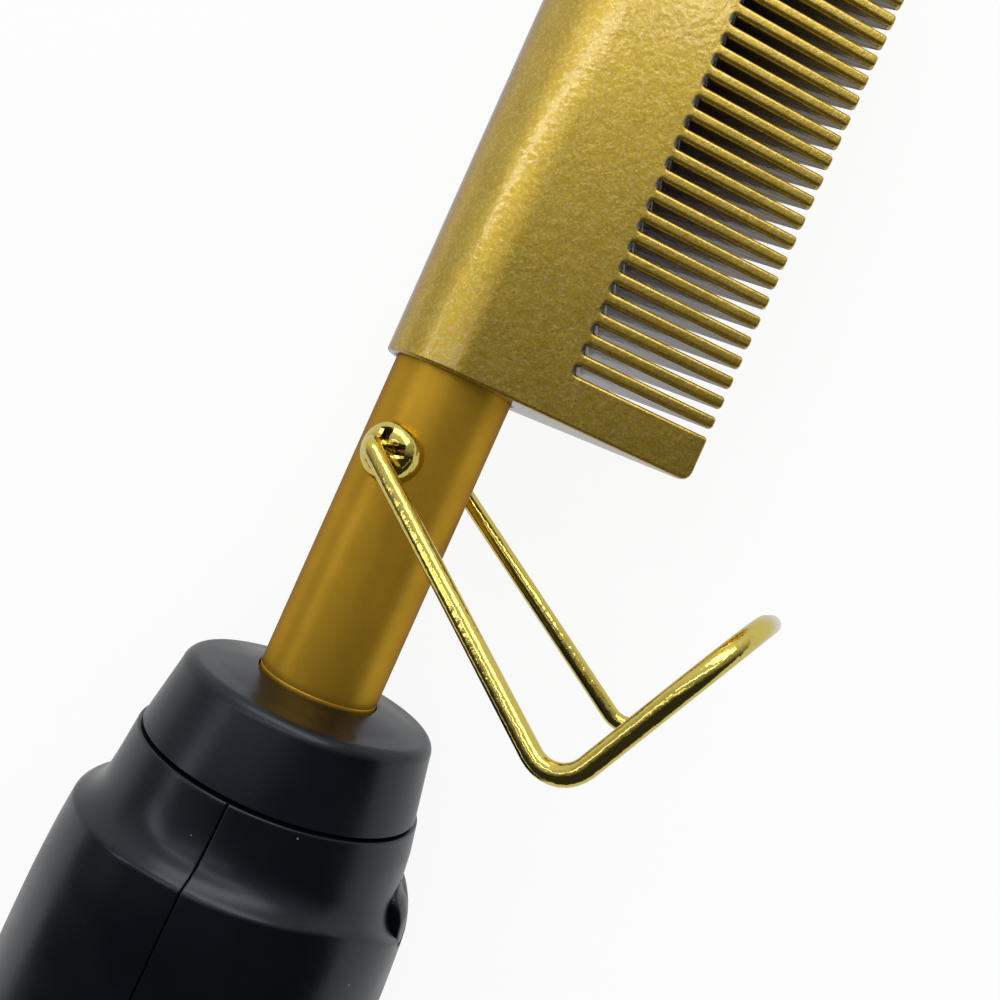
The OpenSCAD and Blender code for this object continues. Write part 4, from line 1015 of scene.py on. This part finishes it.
def power_button(sizes):
    """Oval button along -Y: ovals from the middle of its face to its edge and down its side, then
    the rim below the skin and the stem to the switch. Along the handle the face is a monotone cubic
    through the heights in BUTTON_FACE, and it drops by a parabola towards the long sides."""
    centre = (BUTTON_LOW.x + BUTTON_HIGH.x) / 2
    around = np.linspace(0, TURN, 96, endpoint=False)
    half_x, half_z, edge = sizes.length / 2, sizes.width / 2, sizes.edge
    rim_x = COLLAR_TOP.x - bpy.context.scene.handle_sizes.collar_dome

    def oval_at(shrink, scale=1.0):
        """The button's oval, drawn in and then scaled."""
        radius = half_z - shrink
        side = steepened(np.cos(around)) * (half_x - half_z)
        return scale * (radius * np.cos(around) + side), scale * radius * np.sin(around)

    def face(x, z, lower=0.0):
        """Points of the face, lowered towards the axis."""
        height = smooth_curve(BUTTON_FACE, (rim_x - centre - x) / MM) * MM
        return stack(centre + x, -height + (z / half_z) ** 2 * sizes.dome + lower, z)

    def ring(shrink, y, scale=1.0):
        """The oval at one height."""
        x, z = oval_at(shrink, scale)
        return stack(centre + x, y, z)

    rings = [face(*oval_at(edge, s)) for s in np.linspace(0, 1, 14)]
    rings += [face(*oval_at(edge * (1 - math.sin(t))), edge * (1 - math.cos(t)))
              for t in np.radians([22.5, 45, 67.5, 90])]
    rim_out, rim_in = BUTTON_HIGH.y - 1.7 * MM, BUTTON_HIGH.y - 0.6 * MM
    rim, stem = 1.1 * MM, 2.2 * MM / half_x
    rings += [ring(0, rim_out), ring(-rim, rim_out), ring(-rim, rim_in), ring(0, rim_in, stem),
              ring(0, BUTTON_HIGH.y, stem), ring(0, BUTTON_HIGH.y, 0)]
    return surface(np.stack(rings))


def indicator_lens(sizes):
    """Small clear lens: a shallow dome on a round stem with a flange behind the skin."""
    centre, out, back = (LENS_LOW.x + LENS_HIGH.x) / 2, LENS_LOW.y, LENS_HIGH.y
    r = sizes.lens_radius
    flange = 2.4 * MM
    seat = out + 2.6 * MM
    profile = [(0, 0), (0.02 * MM, 0.4 * r), (0.1 * MM, 0.7 * r), (0.25 * MM, 0.92 * r),
               (0.4 * MM, r), (seat - out, r), (seat - out, flange), (seat - out + 1 * MM, flange),
               (seat - out + 1 * MM, r), (back - out, r), (back - out, 0)]
    grid = turned(profile, 48)
    return surface(stack(centre + grid[..., 1], out + grid[..., 0], grid[..., 2]))


def cord_outlet(sizes):
    """Soft outlet: a cone with flex grooves, a neck through the tail, a flange that keeps it in, a
    stub for the contact rings, and the stepped hole for the cord."""
    mouth, end = OUTLET_MOUTH.x, OUTLET_END.x
    cone_end, neck, flange = 8.7 * MM, 5.8 * MM, 7.6 * MM
    stub, flange_from, flange_to = 5.3 * MM, 12.3 * MM, 14.3 * MM
    soft = 0.5 * MM

    def cone(x):
        """Radius of the cone at x."""
        widening = sizes.base_radius - sizes.mouth_radius
        return sizes.mouth_radius + widening * (x - mouth) / cone_end

    xs = np.linspace(mouth + 1.6 * MM, cone_end - 0.9 * MM, 16 * sizes.groove_count)
    wave = np.clip(np.sin(np.linspace(0, sizes.groove_count * TURN, len(xs)) - 0.5 * math.pi), 0, 1)
    ribs = [(x, cone(x) - sizes.groove_depth * w) for x, w in zip(xs, wave)]
    profile = [(mouth + 0.3 * MM, sizes.hole_radius), (mouth, sizes.hole_radius + 0.3 * MM),
               *corner(mouth + soft, cone(mouth + soft) - soft, soft, 180, 100), *ribs,
               *corner(cone_end - soft, sizes.base_radius - soft, soft, 80, 0),
               (cone_end, neck), (flange_from, neck), (flange_from, flange), (flange_to, flange),
               (flange_to, stub), (end, stub), (end, sizes.wire_way),
               (sizes.hole_depth, sizes.wire_way), (sizes.hole_depth, sizes.hole_radius),
               (mouth + 0.3 * MM, sizes.hole_radius)]
    return surface(turned(profile, 96))


# ---------------------------------------------------------------- operators

class HOTCOMB_OT_head(bpy.types.Operator):
    """Build the comb head"""
    bl_idname = "hotcomb.head"
    bl_label = "Comb head"

    def execute(self, context):
        scene = context.scene
        make_piece("comb_head_painted", [comb_head(scene.head_sizes)], "tool", ["comb_head"],
                   gold_paint(scene.finishes), sharp=40)
        return {"FINISHED"}


class HOTCOMB_OT_barrel(bpy.types.Operator):
    """Build the barrel"""
    bl_idname = "hotcomb.barrel"
    bl_label = "Barrel"

    def execute(self, context):
        scene = context.scene
        make_piece("barrel_lacquered", [barrel(scene.barrel_sizes)], "tool", ["barrel"],
                   satin_lacquer(scene.finishes))
        return {"FINISHED"}


class HOTCOMB_OT_stand(bpy.types.Operator):
    """Build the wire stand and its two pivot screws"""
    bl_idname = "hotcomb.stand"
    bl_label = "Stand and pivot screws"

    def execute(self, context):
        scene = context.scene
        brass = polished_brass(scene.finishes)
        make_piece("wire_stand_polished", [wire_stand(scene.stand_sizes)], "stand", ["wire_stand"],
                   brass)
        heads = [s for side in (1, -1) for s in pivot_screw(scene.barrel_sizes, side)]
        make_piece("pivot_screw_heads", heads, "tool", ["pivot_screws"], brass)
        return {"FINISHED"}


class HOTCOMB_OT_collar(bpy.types.Operator):
    """Build the collar"""
    bl_idname = "hotcomb.collar"
    bl_label = "Collar"

    def execute(self, context):
        scene = context.scene
        plastic = moulded_plastic("Moulded ABS, dark grey", scene.finishes.collar_plastic,
                                  rough=0.34)
        make_piece("collar_moulded", [collar(scene.handle_sizes)], "tool", ["collar"],
                   plastic)
        return {"FINISHED"}


class HOTCOMB_OT_handle(bpy.types.Operator):
    """Build the two halves of the handle"""
    bl_idname = "hotcomb.handle"
    bl_label = "Handle"

    def execute(self, context):
        scene = context.scene
        plastic = moulded_plastic("Moulded ABS, black", scene.finishes.handle_plastic,
                                  rough=0.31)
        make_piece("handle_front_moulded", handle_front(scene.handle_sizes), "tool",
                   ["handle_front"], plastic, sharp=45)
        make_piece("handle_back_moulded", handle_back(scene.handle_sizes), "tool",
                   ["handle_back"], plastic, sharp=45)
        return {"FINISHED"}


class HOTCOMB_OT_button(bpy.types.Operator):
    """Build the power button and the indicator's lens"""
    bl_idname = "hotcomb.button"
    bl_label = "Button and indicator"

    def execute(self, context):
        scene = context.scene
        gloss = moulded_plastic("Moulded ABS, gloss black", linear("#08090B"), rough=0.3,
                                grain_mm=1.2, dusty=False)
        make_piece("power_button_moulded", [power_button(scene.button_sizes)], "button",
                   ["power_button"], gloss)
        red = plain_finish("Clear acrylic, red", "#8E1F14", metallic=0.0, rough=0.12,
                           grain_mm=2.0, depth_mm=0.01)
        make_piece("indicator_lens_clear", [indicator_lens(scene.button_sizes)], "tool",
                   ["indicator_lens"], red)
        return {"FINISHED"}


class HOTCOMB_OT_outlet(bpy.types.Operator):
    """Build the swivelling cord outlet"""
    bl_idname = "hotcomb.outlet"
    bl_label = "Cord outlet"

    def execute(self, context):
        soft = moulded_plastic("Soft PVC, black", linear("#101113"), rough=0.5, grain_mm=0.25,
                               dusty=False)
        make_piece("cord_outlet_moulded", [cord_outlet(context.scene.outlet_sizes)], "outlet",
                   ["cord_outlet"], soft)
        return {"FINISHED"}


class HOTCOMB_OT_inside(bpy.types.Operator):
    """Give each inner part its finish"""
    bl_idname = "hotcomb.inside"
    bl_label = "Inner parts"

    def execute(self, context):
        for title, (parts, *values) in INNER_FINISHES.items():
            material = plain_finish(title, *values)
            for part in parts.split():
                for slot in frame["nodes"][part].material_slots:
                    slot.material = material
        return {"FINISHED"}


# ---------------------------------------------------------------- stage

CAMERA_PLACE = (0.16194, -0.023568, 0.11699)
CAMERA_RIGHT = (0.40849455, -0.9073536, -0.09920513)
CAMERA_DOWN = (-0.91274813, -0.4066407, -0.03916871)
FOCAL_PIXELS = 979.31
IMAGE_PIXELS = 1000
# Brightness of the room: its rise along x, y and z, its share of the way at no rise, its darkest
# and palest, and the least that matt surfaces get
ROOM_SLOPE = (0.70, 0.24, 0.0)
ROOM_LEVEL = 0.10
ROOM_DARK, ROOM_PALE = 0.03, 1.0
ROOM_LIGHT = 0.65
# Half the floor's width in metres, its brightness in reflections, and its share of plain white
FLOOR_HALF = 4.0
FLOOR_MIRRORED = 0.68
FLOOR_WHITE = 0.9
LAMP_TARGET = (0.205, 0, 0.008)
# Name, directions of the ends of the near edge, distance and depth in metres, and radiance
LAMPS = [
    ("Strip softbox", (0.19, 0.66, 0.76), (0.43, -0.30, 0.85), 0.7, 0.04, 5.0),
    ("Side softbox", (-0.36, 0.80, 0.50), (0.06, 0.64, 0.76), 0.7, 0.10, 1.7),
    ("Overhead softbox", (-0.02, 0.58, 0.81), (0.02, -0.12, 0.99), 0.7, 0.05, 1.5),
    ("Corner softbox", (0.470, -0.335, 0.815), (0.480, -0.405, 0.780), 0.7, 0.05, 4.0),
    ("Window softbox", (0.70, 0.60, 0.46), (0.56, -0.45, 0.70), 0.7, 0.27, 2.5),
]


def add_camera():
    """Camera over the barrel, looking down on the tool as it lies on its side."""
    data = bpy.data.cameras.new("Camera")
    data.sensor_width = 36
    data.lens = FOCAL_PIXELS * data.sensor_width / IMAGE_PIXELS
    data.clip_start, data.clip_end = 0.005, 10
    camera = bpy.data.objects.new("Camera", data)
    right, down = Vector(CAMERA_RIGHT), Vector(CAMERA_DOWN)
    turn = Matrix((right, -down, down.cross(right))).transposed().to_4x4()
    camera.matrix_world = Matrix.Translation(CAMERA_PLACE) @ turn
    bpy.context.scene.collection.objects.link(camera)
    bpy.context.scene.camera = camera


def add_lamp(name, first, second, distance, depth, radiance):
    """Rectangular lamp that faces the comb head. One edge runs between two directions at a
    distance from LAMP_TARGET, and the lamp reaches from that edge by its depth."""
    target = Vector(LAMP_TARGET)
    first, second = (target + distance * Vector(way).normalized() for way in (first, second))
    along = (second - first).normalized()
    out = (first + second) / 2 - target
    out = (out - along * out.dot(along)).normalized()
    side = out.cross(along)
    data = bpy.data.lights.new(name, "AREA")
    data.shape = "RECTANGLE"
    data.size, data.size_y = (second - first).length, depth
    data.energy = radiance * math.pi * data.size * data.size_y
    lamp = bpy.data.objects.new(name, data)
    turn = Matrix((along, side, out)).transposed().to_4x4()
    lamp.matrix_world = Matrix.Translation((first + second) / 2 + side * depth / 2) @ turn
    bpy.context.scene.collection.objects.link(lamp)


def add_world():
    """Pale room: white where the camera sees it. As a light and in reflections it is pale towards
    the windows beyond the tip and darker towards the handle's end."""
    world = bpy.data.worlds.new("Pale room")
    bpy.context.scene.world = world
    world.use_nodes = True
    tree = world.node_tree
    background = tree.nodes["Background"]
    way = node(tree, "TexCoord")["Generated"]
    toward = node(tree, "VectorMath", {0: way, 1: ROOM_SLOPE}, operation="DOT_PRODUCT")["Value"]
    room = node(tree, "MapRange", {"Value": toward, "From Min": -ROOM_LEVEL,
                                   "From Max": 1 - ROOM_LEVEL, "To Min": ROOM_DARK,
                                   "To Max": ROOM_PALE})["Result"]
    path = node(tree, "LightPath")
    seen = node(tree, "Math", {0: path["Is Camera Ray"], 1: path["Is Transmission Ray"]},
                operation="MAXIMUM")[0]
    plain = node(tree, "Math", {0: path["Is Diffuse Ray"], 1: ROOM_LIGHT, 2: seen},
                 operation="MULTIPLY_ADD")[0]
    strength = node(tree, "Math", {0: plain, 1: room}, operation="MAXIMUM")[0]
    background.inputs["Color"].default_value = (1, 1, 1, 1)
    tree.links.new(strength, background.inputs["Strength"])


def add_floor(height):
    """Floor that the tool lies on: almost white to the camera, with a faint shadow, and darker in
    reflections."""
    half = FLOOR_HALF
    mesh = bpy.data.meshes.new("floor")
    mesh.from_pydata([(-half, -half, height), (half, -half, height), (half, half, height),
                      (-half, half, height)], [], [(0, 1, 2, 3)])
    material = bpy.data.materials.new("Pale paper")
    material.use_nodes = True
    tree = material.node_tree
    shader = tree.nodes["Principled BSDF"]
    shader.inputs["Base Color"].default_value = (0.9, 0.9, 0.9, 1)
    shader.inputs["Roughness"].default_value = 0.9
    path = node(tree, "LightPath")
    seen = node(tree, "Math", {0: path["Is Camera Ray"], 1: path["Is Glossy Ray"]},
                operation="MAXIMUM")[0]
    pale = node(tree, "MapRange", {"Value": path["Is Camera Ray"], "To Min": FLOOR_MIRRORED})
    white = node(tree, "Emission", {"Color": (1, 1, 1), "Strength": pale["Result"]})[0]
    share = node(tree, "Math", {0: seen, 1: FLOOR_WHITE}, operation="MULTIPLY")[0]
    both = node(tree, "MixShader", {0: share, 1: shader.outputs[0], 2: white})[0]
    tree.links.new(both, tree.nodes["Material Output"].inputs["Surface"])
    mesh.materials.append(material)
    floor = bpy.data.objects.new("floor", mesh)
    bpy.context.scene.collection.objects.link(floor)
    floor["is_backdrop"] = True


class HOTCOMB_OT_stage(bpy.types.Operator):
    """Add the floor, the lamps, the room and the camera"""
    bl_idname = "hotcomb.stage"
    bl_label = "Stage"

    def execute(self, context):
        add_camera()
        add_floor(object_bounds()[0].z)
        add_world()
        for lamp in LAMPS:
            add_lamp(*lamp)
        context.scene.view_settings.view_transform = "Standard"
        return {"FINISHED"}


class HOTCOMB_PT_panel(bpy.types.Panel):
    """Sizes, finishes and steps of the hot comb"""
    bl_label = "Hot comb"
    bl_idname = "HOTCOMB_PT_panel"
    bl_space_type = "VIEW_3D"
    bl_region_type = "UI"
    bl_category = "Hot comb"

    def draw(self, context):
        for group in GROUPS:
            box = self.layout.box()
            box.label(text=GROUPS[group].__doc__)
            for name in GROUPS[group].__annotations__:
                box.prop(getattr(context.scene, group), name)
        for operator in OPERATORS:
            self.layout.operator(operator.bl_idname)


GROUPS = {
    "head_sizes": HeadSizes, "barrel_sizes": BarrelSizes, "stand_sizes": StandSizes,
    "handle_sizes": HandleSizes, "button_sizes": ButtonSizes, "outlet_sizes": OutletSizes,
    "finishes": Finishes,
}
OPERATORS = (HOTCOMB_OT_head, HOTCOMB_OT_barrel, HOTCOMB_OT_stand, HOTCOMB_OT_collar,
             HOTCOMB_OT_handle, HOTCOMB_OT_button, HOTCOMB_OT_outlet, HOTCOMB_OT_inside,
             HOTCOMB_OT_stage)


def register():
    """Registers the classes and adds the property groups to the scene."""
    for group in GROUPS.values():
        bpy.utils.register_class(group)
    for name, group in GROUPS.items():
        setattr(bpy.types.Scene, name, bpy.props.PointerProperty(type=group))
    for item in (*OPERATORS, HOTCOMB_PT_panel):
        bpy.utils.register_class(item)


def unregister():
    """Takes the classes and the property groups out again."""
    for item in (HOTCOMB_PT_panel, *reversed(OPERATORS)):
        bpy.utils.unregister_class(item)
    for name, group in reversed(GROUPS.items()):
        delattr(bpy.types.Scene, name)
        bpy.utils.unregister_class(group)


def main():
    """Builds everything in order and computes the model's box before and after."""
    cad_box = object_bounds()
    register()
    for operator in OPERATORS:
        group, name = operator.bl_idname.split(".")
        getattr(getattr(bpy.ops, group), name)()
    boxes = {"cad": cad_box, "visual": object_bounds()}
    {name: [list(corner) for corner in box] for name, box in boxes.items()}


if __name__ == "__main__":
    main()
